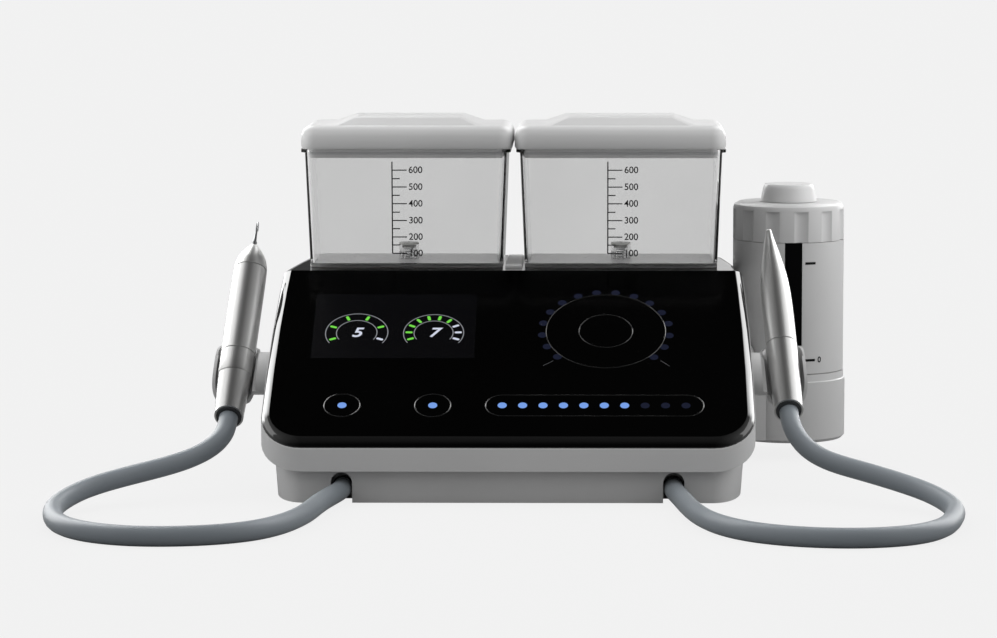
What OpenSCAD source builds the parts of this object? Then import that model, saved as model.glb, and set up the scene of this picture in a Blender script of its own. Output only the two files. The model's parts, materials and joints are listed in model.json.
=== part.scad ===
// Table-top ultrasonic scaler and air polisher: a sloped glass control panel,
// two lift-off water tanks, a powder canister in a side dock, and two
// handpieces on soft hoses, each in a cradle at the side of the body.
// Origin: middle of the underside, on the table. X to the right as seen by
// the person who uses it, Y from the front to the rear, Z up. Millimetres.

/* [Shell] */
// Width of the shell across its front
body_w = 304; // [296:1:312]
// Depth of the shell from front to rear
body_d = 260; // [254:1:270]
// How far each side draws in toward the rear
side_taper = 14.8; // [10:0.2:18]
// Depth at which the sides start to draw in
taper_from = 45; // [35:1:60]
// Radius of the front corners in plan
front_r = 26; // [22:1:30]
// Radius of the rear corners in plan
rear_r = 22; // [20:1:26]
// Height of the shell's lower edge above the table at the front
lip_z = 20.5; // [20:0.5:24]
// Height of the pale band round the shell
band_h = 14; // [11:0.5:18]
// Thickness of the black cover, measured straight up
cover_t = 4; // [3.6:0.1:5]
// Slope of the control panel in degrees
panel_angle = 31; // [29:0.5:33]
// Depth of the sloped part from front to rear
panel_run = 150; // [144:1:154]
// Seam between the panel and the deck cover
panel_seam = 0.2; // [0.1:0.1:0.5]
// Side wall of the shell
shell_wall = 2.6; // [2:0.1:3.5]
// Top wall of the shell, measured straight up
top_wall = 3.4; // [2.8:0.1:4.5]
// How far the black cover's edge stands in from the band
cover_in = 0.5; // [0.2:0.1:1]
// Width of the rolled edge round the black cover
roll_w = 4.5; // [3:0.5:6]

/* [Lower housing] */
// How far the lower housing stands in under the shell
plinth_in = 6.5; // [6:0.5:8]
// Wall of the lower housing
plinth_wall = 3; // [2.5:0.1:4]
// Front corners of the lower housing, half axis across
plinth_rx = 20; // [17:1:24]
// Front corners of the lower housing, half axis along the depth
plinth_ry = 48; // [40:1:55]
// Rear corners of the lower housing
plinth_rr = 20; // [18:1:22]
// How far the foot of the wall draws in
draft = 1.4; // [0.8:0.1:1.6]
// Height over which the wall draws in
draft_h = 20; // [15:1:24]
// Thickness of the bottom cover
base_t = 3; // [2.6:0.1:4]
// Gap between the bottom cover and the wall round it
base_gap = 0.3; // [0.2:0.05:0.5]
// Diameter of the anti-slip pads
pad_d = 18; // [14:1:22]
// Thickness of the anti-slip pads
pad_t = 1.6; // [1.2:0.1:2]
// Diameter of the bosses for the bottom screws
boss_d = 13; // [12:0.5:14]
// Height of the standoffs under the boards
standoff_h = 6; // [4:1:8]

/* [Display] */
// Width of the display module
display_w = 108; // [100:1:112]
// Height of the display module up the slope
display_h = 70; // [64:1:74]
// Thickness of the display module
display_t = 5; // [4:0.5:6]
// Touch board left between its left edge and the display's window
display_side = 5.5; // [4:0.1:8]
// Touch board left between its upper edge and the display's window
display_top = 11.1; // [8:0.1:14]
// Touch board in from the sides of the shell
board_side = 18.3; // [16:0.1:22]
// Touch board in from the foot and the top of the slope
board_end = 12.3; // [10:0.1:16]
// Thickness of the glass above the touch board
glass_t = 1.6; // [1.4:0.1:1.8]
// Thickness of the touch board
touch_t = 1.5; // [1.2:0.1:1.6]

/* [Tanks] */
// Distance of the tank rims in from the sides of the shell
tank_side = 14; // [12:0.5:20]
// Depth of a tank at its foot
tank_d = 72; // [66:1:76]
// Height of a tank without its rim
tank_h = 75; // [65:1:85]
// How far each side leans out toward the rim
tank_lean = 3; // [1.5:0.1:4]
// Wall of a tank
tank_wall = 2.2; // [1.8:0.1:2.8]
// Floor of a tank
tank_floor = 2.5; // [2:0.1:3.5]
// Corner radius of a tank at its foot
tank_r = 6; // [5:0.5:9]
// Width of the rim beyond the tank wall
rim_w = 2.4; // [1.6:0.1:3]
// Thickness of the rim
rim_t = 2; // [1.5:0.1:3]
// Gap between the rims of the two tanks
tank_gap = 3.6; // [3:0.1:6]
// Distance from a tank's foot to the rear of the shell
tank_rear = 21; // [18:1:24]
// Gap between the tanks and the deck
tank_seat = 0.3; // [0.2:0.05:0.5]
// Half width of the divider between the tanks
divider_hw = 5.5; // [4:0.5:6.5]
// Height of the divider
divider_h = 2; // [1.5:0.5:4]

/* [Lids] */
// How far a lid reaches over the rim of its tank
lid_over = 0.5; // [0.3:0.05:0.6]
// How far a lid reaches over the rim at the front and the rear
lid_reach = 0.6; // [0.3:0.05:0.7]
// Height of a lid at its edge
lid_h = 14.9; // [12:0.1:18]
// Height of the raised middle of a lid
crown_h = 5; // [3:0.5:8]
// Offset of each lid toward the middle
lid_shift = 0.5; // [0:0.1:0.5]
// Wall of a lid
lid_wall = 2.2; // [1.8:0.1:3]
// Depth of the lip inside the tank
lip_h = 6; // [5:0.5:8]
// Gap between the lip and the tank wall
lip_gap = 0.8; // [0.6:0.1:1.2]
// Gap between a lid and the rim of its tank
lid_seat = 0.25; // [0.2:0.05:0.4]

/* [Tank valves] */
// Radius of the valve spigot under a tank
spigot_r = 6; // [5.5:0.1:6.5]
// Length of the valve spigot below the tank
spigot_h = 9; // [8:0.5:9.5]
// Height of the valve boss above the foot of the tank
valve_h = 12; // [10:0.5:14]
// Radius of the valve chamber
chamber_r = 4.6; // [4.4:0.1:4.8]
// Travel of the valve plunger
valve_travel = 2; // [1:0.5:3]
// Wire of the valve spring
spring_wire = 0.7; // [0.5:0.1:0.8]
// Curls of the valve spring
spring_curls = 8; // [6:1:9]

/* [Canister] */
// Radius of the canister
can_r = 36.7; // [35:0.1:38]
// Distance of the canister's axis outside the shell's side
can_out = 29.2; // [29.2:0.1:33]
// Distance of the canister's axis ahead of the shell's rear
can_rear = 44; // [42:1:47]
// Height of the canister's shoulder, where it rests on the dock
can_seat_z = 57; // [54:1:62]
// Height of the top of the canister's wide body
can_top_z = 143.5; // [135:0.5:150]
// Wall of the canister
can_wall = 3.7; // [3.2:0.1:4.5]
// Radius of the neck under the cap
neck_r = 32.5; // [31:0.1:33]
// Height of the neck
neck_h = 18.5; // [16:0.5:20]
// Height of the cap
cap_h = 24.5; // [23:0.5:28]
// Flutes round the cap
flutes = 12; // [8:1:16]
// Depth of each flute
flute_deep = 1.5; // [0.8:0.1:2]
// Radius of the knob on the cap
knob_r = 18.7; // [16:0.1:21]
// Height of the knob
knob_h = 11.4; // [9:0.1:14]
// Width of the sight slot
slot_w = 11.5; // [9:0.5:14]
// Height of the foot of the sight slot
slot_z = 76; // [70:1:84]
// Turn of the sight slot to the right in degrees
slot_turn = 2.6; // [0:0.1:5]
// Radius of the dock cup
dock_r = 38; // [37.4:0.1:40]
// Height of the underside of the dock
dock_z = 11.5; // [8:0.5:14]
// Floor of the dock
dock_floor = 5; // [4:0.5:6]

// Height of the dock's web above the canister's shoulder
web_h = 21; // [18:1:24]

/* [Handpiece holders] */
// Distance of the cradles outside the shell's side
holder_out = 22; // [22:0.5:24]
// How much nearer the polisher's cradle sits
polisher_in = 1.2; // [0.8:0.1:1.6]
// Distance of the cradles behind the shell's front
holder_deep = 88; // [84:1:92]
// Height of the cradles
holder_z = 69.3; // [66:0.1:72]
// Lean of the handpieces away from the user in degrees
lean = 40; // [38:0.5:42]
// Lean of the handpieces toward the middle in degrees
toe = 5; // [3:0.5:6]
// Radius of the boss that carries a cradle
arm_r = 13.5; // [11:0.5:14]
// Outer radius of a cradle
cradle_r = 14; // [13.6:0.1:14.5]
// Inner radius of a cradle
cradle_bore = 12.1; // [11.8:0.05:12.3]
// Length of a cradle
cradle_h = 41; // [36:1:44]
// Height of a cradle's middle above its arm
cradle_rise = 5.5; // [4:0.5:6]
// How much wider the cradle is at its upper end
cradle_ease = 0.6; // [0.4:0.05:0.8]
// Height above the arm where the cradle grows wider
holder_grip = 12.5; // [11:0.1:13]

/* [Handpieces] */
// Radius of the scaler handpiece
scaler_r = 10.9; // [10.5:0.1:10.9]
// Radius of the polisher's coupler at its front end
polisher_r = 9.9; // [9.6:0.1:10.2]
// Radius of both couplers at the hose
coupler_r = 9.2; // [9.1:0.1:9.4]
// Rear end of the scaler's coupler along its axis
scaler_end = -32.3; // [-34:0.1:-30]
// Front end of the scaler's coupler along its axis
scaler_seam = 14; // [10:0.5:16]
// Length of the scaler's sleeve
sleeve_l = 64.2; // [60:0.2:68]
// Length of the scaler's nose
nose_l = 19.4; // [17:0.2:22]
// Rear end of the polisher's coupler along its axis
polisher_end = -27.3; // [-29:0.1:-25]
// Front end of the polisher's coupler along its axis
polisher_seam = 21.8; // [18:0.2:23]
// Length of the polisher's nozzle
nozzle_l = 89; // [84:0.5:92]
// Radius of the plug that holds each front piece on its coupler
plug_r = 7; // [6.5:0.1:7.2]
// Length of that plug
plug_l = 14; // [10:1:16]
// Running gap round the plug
plug_gap = 0.3; // [0.2:0.05:0.4]
// Distance of the step round the scaler's coupler from its seam
step_back = 16; // [13:0.5:20]
// Slant of the hose end of each coupler in degrees
end_tilt = 16; // [10:1:20]
// Seam between parts of a handpiece
hp_seam = 0.2; // [0.1:0.05:0.3]

/* [Hoses] */
// Diameter of the hoses
hose_d = 12; // [11:0.2:12.4]
// Place of the hoses to either side of the middle
hose_x = 101.5; // [99:0.5:104]
// Height of the hoses where they leave the body
hose_z = 8.2; // [7.5:0.1:9]
// Width of the notch that each hose leaves by
notch_w = 13; // [12.9:0.1:14]
// Height of the notch
notch_h = 19; // [17:0.5:19]
// Depth of the notch
notch_deep = 18; // [16:1:20]
// Length of the gland inside the notch
gland_l = 6; // [5:0.5:8]

/* [Rear panel] */
// Height of the row of connectors
rear_z = 40; // [34:1:50]
// Distance of the power inlet in from the side of the shell
inlet_side = 77; // [72:1:82]
// Distance from the power inlet to the switch
switch_gap = 40; // [36:1:44]
// Place of the foot control socket
pedal_x = 25; // [15:1:35]
// Distance of the air inlet in from the side of the shell
air_side = 82; // [76:1:88]
// Tilt of the switch rocker either way in degrees
rocker_tilt = 8; // [6:0.5:9]

/* [Inside] */
// Distance of the control board's middle behind the shell's front
board_deep = 80; // [76:1:84]
// Width of the control board
board_w = 120; // [110:1:124]
// Depth of the control board
board_d = 70; // [66:1:74]
// Distance of the power supply's middle ahead of the shell's rear
supply_rear = 70; // [68:1:74]
// Width of the power supply
supply_w = 88; // [80:1:90]
// Depth of the power supply
supply_d = 60; // [54:1:64]
// Height of the power supply
supply_h = 34; // [30:1:38]
// Distance of the pumps in from the sides of the shell
pump_side = 54; // [50:1:56]
// Distance of the pumps' middle behind the shell's front
pump_deep = 116; // [112:1:120]
// Length of a pump
pump_l = 76; // [70:1:80]
// Width of a pump
pump_w = 34; // [32:1:36]
// Radius of a pump's motor
motor_r = 13.5; // [12:0.5:14]
// Length of the valve block
valves_w = 66; // [62:1:68]
// Place of the valve block across the body
valves_x = 45; // [44:1:50]
// Height of the valve block
valves_h = 22; // [20:1:26]
// Distance of the valve block ahead of the shell's rear
valves_rear = 62; // [60:1:64]
// Radius of the air regulator's bowl
regulator_r = 14; // [12:0.5:15]
// Height of the air regulator
regulator_h = 52; // [48:1:56]
// Distance of the air regulator ahead of the shell's rear
regulator_rear = 35; // [33:1:38]
// Distance of the air regulator in from the side of the shell
regulator_side = 52; // [50:1:56]

/* [Hidden] */

$fn = 64;

// Colours, as the photograph shows them
pale = "#B9BABB";
black = "#050506";
steel = "#B4B5B6";
clear = [0.86, 0.88, 0.9, 0.45];
rubber = "#66696D";
board = "#1E5B3C";
metal = "#8E9296";

// Body reference lines
half_w = body_w / 2;
inlet_x = -half_w + inlet_side;
switch_x = inlet_x + switch_gap;
air_x = half_w - air_side;
front_y = -body_d / 2;
rear_y = body_d / 2;
rise = tan(panel_angle);
deck_y = front_y + panel_run;
deck_low = lip_z + panel_run * rise;
deck_z = deck_low + band_h + cover_t;
panel_z = lip_z + band_h + cover_t;
panel_n = cover_t * cos(panel_angle);
panel_l = panel_run / cos(panel_angle);
board_top = panel_l - board_end;
window_w = display_w + 1;
window_h = display_h + 1;
display_x = -half_w + board_side + display_side + window_w / 2;
display_u = board_top - display_top - window_h / 2;
inner_top = band_h - top_wall;
plinth_front = front_y + plinth_in;
plinth_rear = rear_y - plinth_in;

// Tank reference lines
tank_z = deck_z + tank_seat;
tank_top = tank_z + tank_h;
rim_z = tank_top + rim_t;
rim_l = half_w - tank_side - tank_gap / 2;
tank_w = rim_l - 2 * tank_lean - 2 * rim_w;
rim_d = tank_d + 2 * tank_lean + 2 * rim_w;
tank_x = (rim_l + tank_gap) / 2;
tank_y = rear_y - tank_rear - tank_d / 2;
lid_z = rim_z + lid_seat;
lid_w = rim_l + 2 * lid_over;
lid_d = rim_d + 2 * lid_reach;
lip_l = tank_w + 2 * tank_lean - 2 * tank_wall - 2 * lip_gap;
lip_d = tank_d + 2 * tank_lean - 2 * tank_wall - 2 * lip_gap;
lip_r = tank_r + 1 - tank_wall;
valve_low = tank_z - spigot_h;
valve_seat = valve_low + 2.5;
valve_top = tank_z + valve_h;
stem_r = 1.6;
retainer_t = 2;

// Canister reference lines
can_x = half_w + can_out;
can_y = rear_y - can_rear;
can_low = dock_z + dock_floor + 0.3;
cup_r = can_r - 1.2;
can_base = 8;
cap_z = can_top_z + 0.3;
cap_top = cap_z + cap_h;
neck_top = can_top_z + neck_h;
neck_in = neck_r - 3;
cap_in_z = neck_top + 2.5;
knob_z = cap_top + 0.3;
dock_face = side_x(can_y - 40) - plinth_in + 1.5;

// Holder reference lines
holder_x = half_w + holder_out;
holder_y = front_y + holder_deep;
arm_face = side_x(holder_y) - plinth_in + 0.8;
coupler_in = coupler_r - 1.1;
collar_proud = 0.6;
collar_deep = 5;

// Switch rocker
rocker_w = 11.2;
rocker_h = 19;
pivot_y = plinth_rear - 1;
pin_r = 1.2;

// Half width of the shell at a given depth
function side_x(y) =
  half_w - side_taper * pow(max(0, y - front_y - taper_from) / (body_d - taper_from), 2);

// Plan outline, drawn in by i, with front corners cx by cy and rear corners cr
function plan(i, cx, cy, cr) =
  let (fy = front_y + i + cy)
  let (fx = half_w - i - cx)
  let (ry = rear_y - i - cr)
  let (span = body_d - taper_from)
  let (turn = atan(2 * side_taper * (ry - front_y - taper_from) / (span * span)))
  let (rx = side_x(ry + cr * sin(turn)) - i - cr * cos(turn))
  let (front = [for (a = [-90 : 10 : 0]) [fx + cx * cos(a), fy + cy * sin(a)]])
  let (side = [for (k = [1 : 5]) side_point(fy + (ry - fy) * k / 6, i)])
  let (rear = [for (k = [0 : 8]) corner_point(rx, ry, cr, turn + (90 - turn) * k / 8)])
  let (half = concat(front, side, rear))
  concat(half, [for (k = [len(half) - 1 : -1 : 0]) [-half[k][0], half[k][1]]]);
function side_point(y, i) = [side_x(y) - i, y];
function corner_point(x, y, r, a) = [x + r * cos(a), y + r * sin(a)];
function shell(i) = plan(i, front_r - i, front_r - i, rear_r - i);
function plinth(i) = plan(plinth_in + i, plinth_rx - i, plinth_ry - i, plinth_rr - i);

// Places of the six bottom screws
screw_in = plinth_in + plinth_wall + 5.5;
screw_spots = [
  [side_x(front_y + 70) - screw_in, front_y + 70],
  [-side_x(front_y + 70) + screw_in, front_y + 70],
  [side_x(rear_y - 50) - screw_in, rear_y - 50],
  [-side_x(rear_y - 50) + screw_in, rear_y - 50],
  [0, front_y + screw_in],
  [0, rear_y - screw_in]];

// Places of the four anti-slip pads
pad_spots = [[-half_w + 40, front_y + 60], [half_w - 40, front_y + 60],
  [-half_w + 50, rear_y - 30], [half_w - 50, rear_y - 30]];

// Board and power supply places: centre x, centre y, width, depth
board_at = [0, front_y + board_deep, board_w, board_d];
supply_at = [10 - supply_w / 2, rear_y - supply_rear, supply_w, supply_d];

// Screws that hold the side pieces, as y and z
dock_screw_spots = [
  [can_y - 31, dock_z + 11], [can_y - 31, dock_z + 36],
  [can_y + 14, dock_z + 11], [can_y + 14, dock_z + 36]];
arm_screw_dz = 8;
dock_pad_t = 12;
web_top = can_seat_z + web_h;
arm_pad_t = 6;

// Points along the hoses, chosen by hand between gland and handpiece
left_route = [
  [-107, -140, 7], [-113, -163, 6.1], [-116, -193, 6.1], [-124, -228, 6.1],
  [-142, -262, 6.1], [-178, -278, 6.1], [-217, -277, 6.1], [-246, -257, 6.1],
  [-261, -229, 6.1], [-267, -199, 6.1], [-270, -170, 6.3], [-257, -143, 12],
  [-233, -126, 16.8], [-210, -115, 21], [-193, -102, 25], [-182, -89, 30.5]];
right_route = [
  [106, -144, 6.4], [109, -169, 6.1], [114, -199, 6.1], [123, -232, 6.1],
  [143, -262, 6.1], [174, -278, 6.1], [208, -281, 6.1], [239, -269, 6.1],
  [257, -242, 6.1], [264, -211, 6.1], [269, -180, 6.5], [257, -151, 11],
  [236, -131, 15.5], [214, -115, 19.8], [195, -101, 23], [182, -86, 30]];

// Turn of a vector from a handpiece's own axes into the body's axes
function turn_x(v, a) = [v[0], v[1] * cos(a) - v[2] * sin(a), v[1] * sin(a) + v[2] * cos(a)];
function turn_y(v, a) = [v[0] * cos(a) + v[2] * sin(a), v[1], v[2] * cos(a) - v[0] * sin(a)];
function hp_vector(side, v) = turn_y(turn_x(v, -lean), -side * toe);
function holder_at(side) = side * holder_x - (side > 0 ? polisher_in : 0);
function hp_point(side, v) = [holder_at(side), holder_y, holder_z] + hp_vector(side, v);
function hose_out(side) = hp_vector(side, [0, -sin(end_tilt), -cos(end_tilt)]);
function hose_end(side, t) = hp_point(side, [0, 0, t]) + (collar_proud + 0.3) * hose_out(side);
function hose_start(side) =
  [side * hose_x, plinth_front + notch_deep - gland_l, hose_z];
function hose_points(side, route, t) = concat(
  [hose_start(side), hose_start(side) + [0, -14, 0]],
  route,
  [hose_end(side, t) + 14 * hose_out(side), hose_end(side, t)]);

// Smooth curve that starts and ends in its first and last point
function padded(p) = concat(
  [2 * p[0] - p[1]], p, [2 * p[len(p) - 1] - p[len(p) - 2]]);
function blend_at(q, i, t) =
  (pow(1 - t, 3) * q[i] + (3 * pow(t, 3) - 6 * t * t + 4) * q[i + 1]
  + (-3 * pow(t, 3) + 3 * t * t + 3 * t + 1) * q[i + 2] + pow(t, 3) * q[i + 3]) / 6;
function curve(p, n) =
  let (q = padded(p))
  concat([for (i = [0 : len(q) - 4]) for (k = [0 : n - 1]) blend_at(q, i, k / n)],
    [blend_at(q, len(q) - 4, 1)]);
function unit(v) = v / norm(v);

// Rings of a round tube along a curve, turned with the curve
function along(c, i) = unit(c[min(i + 1, len(c) - 1)] - c[max(i - 1, 0)]);
function tube_ring(p, dir, r, sides) =
  let (u = unit(cross(dir, [0, 0, 1])))
  let (v = cross(u, dir))
  [for (k = [0 : sides - 1])
    p + r * (cos(360 * (k + 0.5) / sides) * u + sin(360 * (k + 0.5) / sides) * v)];

// Closed mesh over a stack of rings
module skin(rings) {
  n = len(rings[0]);
  m = len(rings);
  points = [for (ring = rings) for (p = ring) p];
  walls = [for (i = [0 : m - 2]) for (k = [0 : n - 1]) for (f = quad(i, k, n)) f];
  foot = [[for (k = [n - 1 : -1 : 0]) k]];
  head = [[for (k = [0 : n - 1]) (m - 1) * n + k]];
  polyhedron(points, concat(walls, foot, head), convexity = 6);
}
function quad(i, k, n) =
  let (a = i * n + k)
  let (b = i * n + (k + 1) % n)
  [[a, b + n, a + n], [a, b, b + n]];

// ---- shared shapes ----

module slab(points, z0, z1) {
  translate([0, 0, z0]) linear_extrude(z1 - z0) polygon(points);
}

// Everything below the shell's sloped and level surface, raised by h
module under(h) {
  rotate([90, 0, 90])
    linear_extrude(body_w + 60, center = true)
      polygon([
        [front_y - 20, -20], [rear_y + 20, -20], [rear_y + 20, deck_low + h],
        [deck_y, deck_low + h], [front_y - 20, lip_z + h - 20 * rise]]);
}

// Layer of the shell between two heights, drawn in by i
module layer(i, h0, h1) {
  difference() {
    intersection() {
      slab(shell(i), -19, deck_low + h1 + 5);
      under(h1);
    }
    under(h0);
  }
}

// The same layer, kept between two depths
module layer_between(i, h0, h1, y0, y1) {
  intersection() {
    layer(i, h0, h1);
    translate([-body_w, y0, -20]) cube([2 * body_w, y1 - y0, deck_z + 60]);
  }
}

// Axes of the control panel: across, up the slope, out of the glass
module on_panel(x = 0, u = 0) {
  translate([0, front_y, panel_z])
    rotate([panel_angle, 0, 0])
      translate([x, u, 0]) children();
}

// Axes of a handpiece in its cradle, Z along it toward the tip
module hp_frame(side) {
  translate([holder_at(side), holder_y, holder_z])
    rotate([-lean, -side * toe, 0]) children();
}

// Rod along X from x0 to x1
module rod_x(r, x0, x1, y, z) {
  translate([min(x0, x1), y, z]) rotate([0, 90, 0]) cylinder(r = r, h = abs(x1 - x0));
}

// Rod along Y from y0 to y1
module rod_y(r, y0, y1, x, z) {
  translate([x, y1, z]) rotate([90, 0, 0]) cylinder(r = r, h = y1 - y0);
}

// Rod along Z from z0 to z1
module rod_z(r, z0, z1, x = 0, y = 0) {
  translate([x, y, z0]) cylinder(r = r, h = z1 - z0);
}

// Rounded rectangle about the centre
module rrect(w, d, r) {
  square([w - 2 * r, d], center = true);
  square([w, d - 2 * r], center = true);
  for (sx = [-1, 1], sy = [-1, 1])
    translate([sx * (w / 2 - r), sy * (d / 2 - r)]) circle(r);
}

// Rounded plate about a centre, from z0 to z1
module rplate(w, d, r, z0, z1) {
  translate([0, 0, z0]) linear_extrude(z1 - z0) rrect(w, d, r);
}

// Box given by its middle in x and y, standing on z0
module block(x, y, w, d, z0, z1) {
  translate([x - w / 2, y - d / 2, z0]) cube([w, d, z1 - z0]);
}

// ---- body ----

module plinth_solid() {
  hull() {
    slab(plinth(draft), 0, 0.1);
    slab(plinth(0), draft_h - 0.5, draft_h);
  }
  intersection() {
    slab(plinth(0), draft_h - 0.3, deck_z);
    under(inner_top);
  }
}

// Solid round the two hose notches, grown by g
module notch_blocks(g) {
  for (s = [-1, 1])
    block(s * hose_x, plinth_front + notch_deep / 2 + 1.5,
      notch_w + 9 + 2 * g, notch_deep + 3 + 2 * g, -1, notch_h + 5);
}

module lower_housing() {
  color(pale)
    difference() {
      union() {
        difference() {
          plinth_solid();
          slab(plinth(plinth_wall), -1, deck_z + 1);
        }
        // blocks round the hose notches
        intersection() {
          plinth_solid();
          notch_blocks(0);
        }
        // bosses for the bottom screws
        for (p = screw_spots) rod_z(boss_d / 2, base_t, 18, p[0], p[1]);
        // pads that carry the cradle arms, cut off under the shell
        intersection() {
          for (s = [-1, 1])
            rod_x(arm_r + 2, s * (arm_face - arm_pad_t), s * arm_face, holder_y, holder_z);
          under(inner_top);
        }
        // pad that carries the canister dock
        translate([dock_face - dock_pad_t, can_y - 42, dock_z])
          cube([dock_pad_t, 64, web_top + 3.5 - dock_z]);
      }
      for (s = [-1, 1]) {
        // hose notch with a round arch
        rod_y(notch_w / 2, front_y, plinth_front + notch_deep, s * hose_x,
          notch_h - notch_w / 2);
        translate([s * hose_x - notch_w / 2, front_y, -1])
          cube([notch_w, plinth_in + notch_deep, notch_h - notch_w / 2 + 1]);
        // hole for the neck of the gland
        rod_y(4.2, plinth_front, plinth_front + notch_deep + 5, s * hose_x, hose_z);
        // screw holes for the cradle arms
        for (k = [-1, 1])
          rod_x(2.2, s * (arm_face - 20), s * (arm_face + 5), holder_y,
            holder_z + k * arm_screw_dz);
      }
      // screw holes for the dock
      for (p = dock_screw_spots) rod_x(2.2, dock_face - 30, dock_face + 5, p[0], p[1]);
      // thread holes for the bottom screws
      for (p = screw_spots) rod_z(1.55, base_t - 1, 15, p[0], p[1]);
      // openings in the rear wall
      block(inlet_x, plinth_rear, 28.6, 20, rear_z - 10.8, rear_z + 10.8);
      block(switch_x, plinth_rear, rocker_w + 3.4, 20, rear_z - rocker_h / 2 - 2.7,
        rear_z + rocker_h / 2 + 2.7);
      rod_y(6.2, plinth_rear - 10, plinth_rear + 5, air_x, rear_z);
      rod_y(7.7, plinth_rear - 10, plinth_rear + 5, pedal_x, rear_z);
      // vent slots in the rear wall
      for (k = [-4 : 4])
        block(k * 7, plinth_rear, 3, 20, rear_z + 34, rear_z + 58);
    }
}

module bottom_cover() {
  color(pale)
    union() {
      difference() {
        slab(plinth(plinth_wall + base_gap), 0, base_t);
        notch_blocks(base_gap);
        for (p = pad_spots) rod_z(pad_d / 2 + 0.2, -1, pad_t, p[0], p[1]);
        for (p = screw_spots) {
          rod_z(3.4, -1, 2, p[0], p[1]);
          rod_z(1.8, -1, 6, p[0], p[1]);
        }
      }
      // standoffs for the control board and the power supply
      for (q = [board_at, supply_at]) {
        for (sx = [-1, 1], sy = [-1, 1])
          rod_z(3.5, base_t - 0.5, base_t + standoff_h,
            q[0] + sx * (q[2] / 2 - 6), q[1] + sy * (q[3] / 2 - 6));
      }
    }
}

module rubber_feet() {
  color(rubber) for (p = pad_spots) rod_z(pad_d / 2, 0, pad_t, p[0], p[1]);
}

module bottom_screws() {
  color(metal)
    for (p = screw_spots)
      union() {
        rod_z(3.1, 0.3, 2, p[0], p[1]);
        rod_z(1.4, 1.8, 14, p[0], p[1]);
      }
}

module upper_housing() {
  color(pale)
    difference() {
      layer(0, 0, band_h);
      // hollow inside
      intersection() {
        slab(shell(shell_wall), -19, deck_z);
        under(inner_top);
      }
      // window for the display
      on_panel(display_x, display_u)
        translate([-display_w / 2 - 1.5, -display_h / 2 - 1.5, -30])
          cube([display_w + 3, display_h + 3, 60]);
      // holes for the tank ports
      for (s = [-1, 1]) rod_z(8.8, deck_low, deck_z + 5, s * tank_x, tank_y);
      // notches where the cradle arms pass
      for (s = [-1, 1])
        rod_x(arm_r + 0.6, s * (half_w - plinth_in - 6), s * (half_w + 5), holder_y, holder_z);
    }
}

// Cover skin with its rolled edge, between two depths
module cover_skin(y0, y1) {
  hull() {
    layer_between(cover_in, band_h, band_h + cover_t * 0.3, y0, y1);
    layer_between(cover_in + roll_w * 0.12, band_h + cover_t * 0.55, band_h + cover_t * 0.6,
      y0, y1);
    layer_between(cover_in + roll_w * 0.4, band_h + cover_t * 0.84, band_h + cover_t * 0.86,
      y0, y1);
    layer_between(cover_in + roll_w, band_h + cover_t * 0.98, band_h + cover_t, y0, y1);
  }
}

module front_panel() {
  color(black)
    difference() {
      cover_skin(front_y - 5, deck_y - panel_seam);
      // pocket for the touch board
      on_panel()
        translate([-half_w + board_side - 0.3, board_end - 0.3, -panel_n - 5])
          cube([body_w - 2 * board_side + 0.6, panel_l - 2 * board_end + 0.6,
            5 + panel_n - glass_t]);
    }
}

module touch_board() {
  color(board)
    difference() {
      on_panel()
        translate([-half_w + board_side, board_end, -glass_t - touch_t])
          cube([body_w - 2 * board_side, panel_l - 2 * board_end, touch_t]);
      on_panel(display_x, display_u)
        translate([-window_w / 2, -window_h / 2, -20]) cube([window_w, window_h, 40]);
    }
}

module display_module() {
  color("#101114")
    on_panel(display_x, display_u)
      difference() {
        translate([-display_w / 2, -display_h / 2, -glass_t - display_t])
          cube([display_w, display_h, display_t]);
        // recess for the ribbon cable at the back
        translate([-15, -display_h / 2 - 1, -glass_t - display_t - 1])
          cube([30, 9, 2.5]);
      }
}

module deck_cover() {
  color(black)
    difference() {
      cover_skin(deck_y, rear_y + 5);
      for (s = [-1, 1]) {
        rod_z(8.8, deck_low, deck_z + 5, s * tank_x, tank_y);
        rod_z(11.3, deck_z - 1.5, deck_z + 5, s * tank_x, tank_y);
      }
      // pocket for the foot of the divider
      block(0, tank_y, 2 * divider_hw - 1.6, tank_d - 3.6, deck_z - 1.5, deck_z + 5);
    }
}

module deck_divider() {
  color(pale)
    union() {
      // foot in the pocket of the deck
      block(0, tank_y, 2 * divider_hw - 2, tank_d - 4, deck_z - 1.5, deck_z + 1);
      // low rib between the tanks, with eased edges
      hull() {
        block(0, tank_y, 2 * divider_hw, tank_d - 2, deck_z, deck_z + divider_h - 0.8);
        block(0, tank_y, 2 * divider_hw - 1.6, tank_d - 3.6, deck_z, deck_z + divider_h);
      }
    }
}

// ---- inside the body ----

module control_board() {
  z = base_t + standoff_h;
  color(board)
    union() {
      block(board_at[0], board_at[1], board_at[2], board_at[3], z, z + 1.6);
      // connectors along the rear edge
      for (k = [-2 : 2])
        block(board_at[0] + k * board_w / 5.5, board_at[1] + board_d / 2 - 6, 14, 8, z + 1.5,
          z + 9);
      // heat sink with fins
      block(board_at[0] - 34, board_at[1] - 8, 30, 26, z + 1.5, z + 5);
      for (k = [0 : 4])
        block(board_at[0] - 47 + k * 6.5, board_at[1] - 8, 2, 26, z + 4, z + 16);
      // transformer and two capacitors of the generator
      block(board_at[0] + 28, board_at[1] - 12, 26, 24, z + 1.5, z + 22);
      for (k = [0, 1])
        rod_z(6, z + 1.5, z + 21, board_at[0] + 2, board_at[1] - 20 + k * 15);
    }
}

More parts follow.
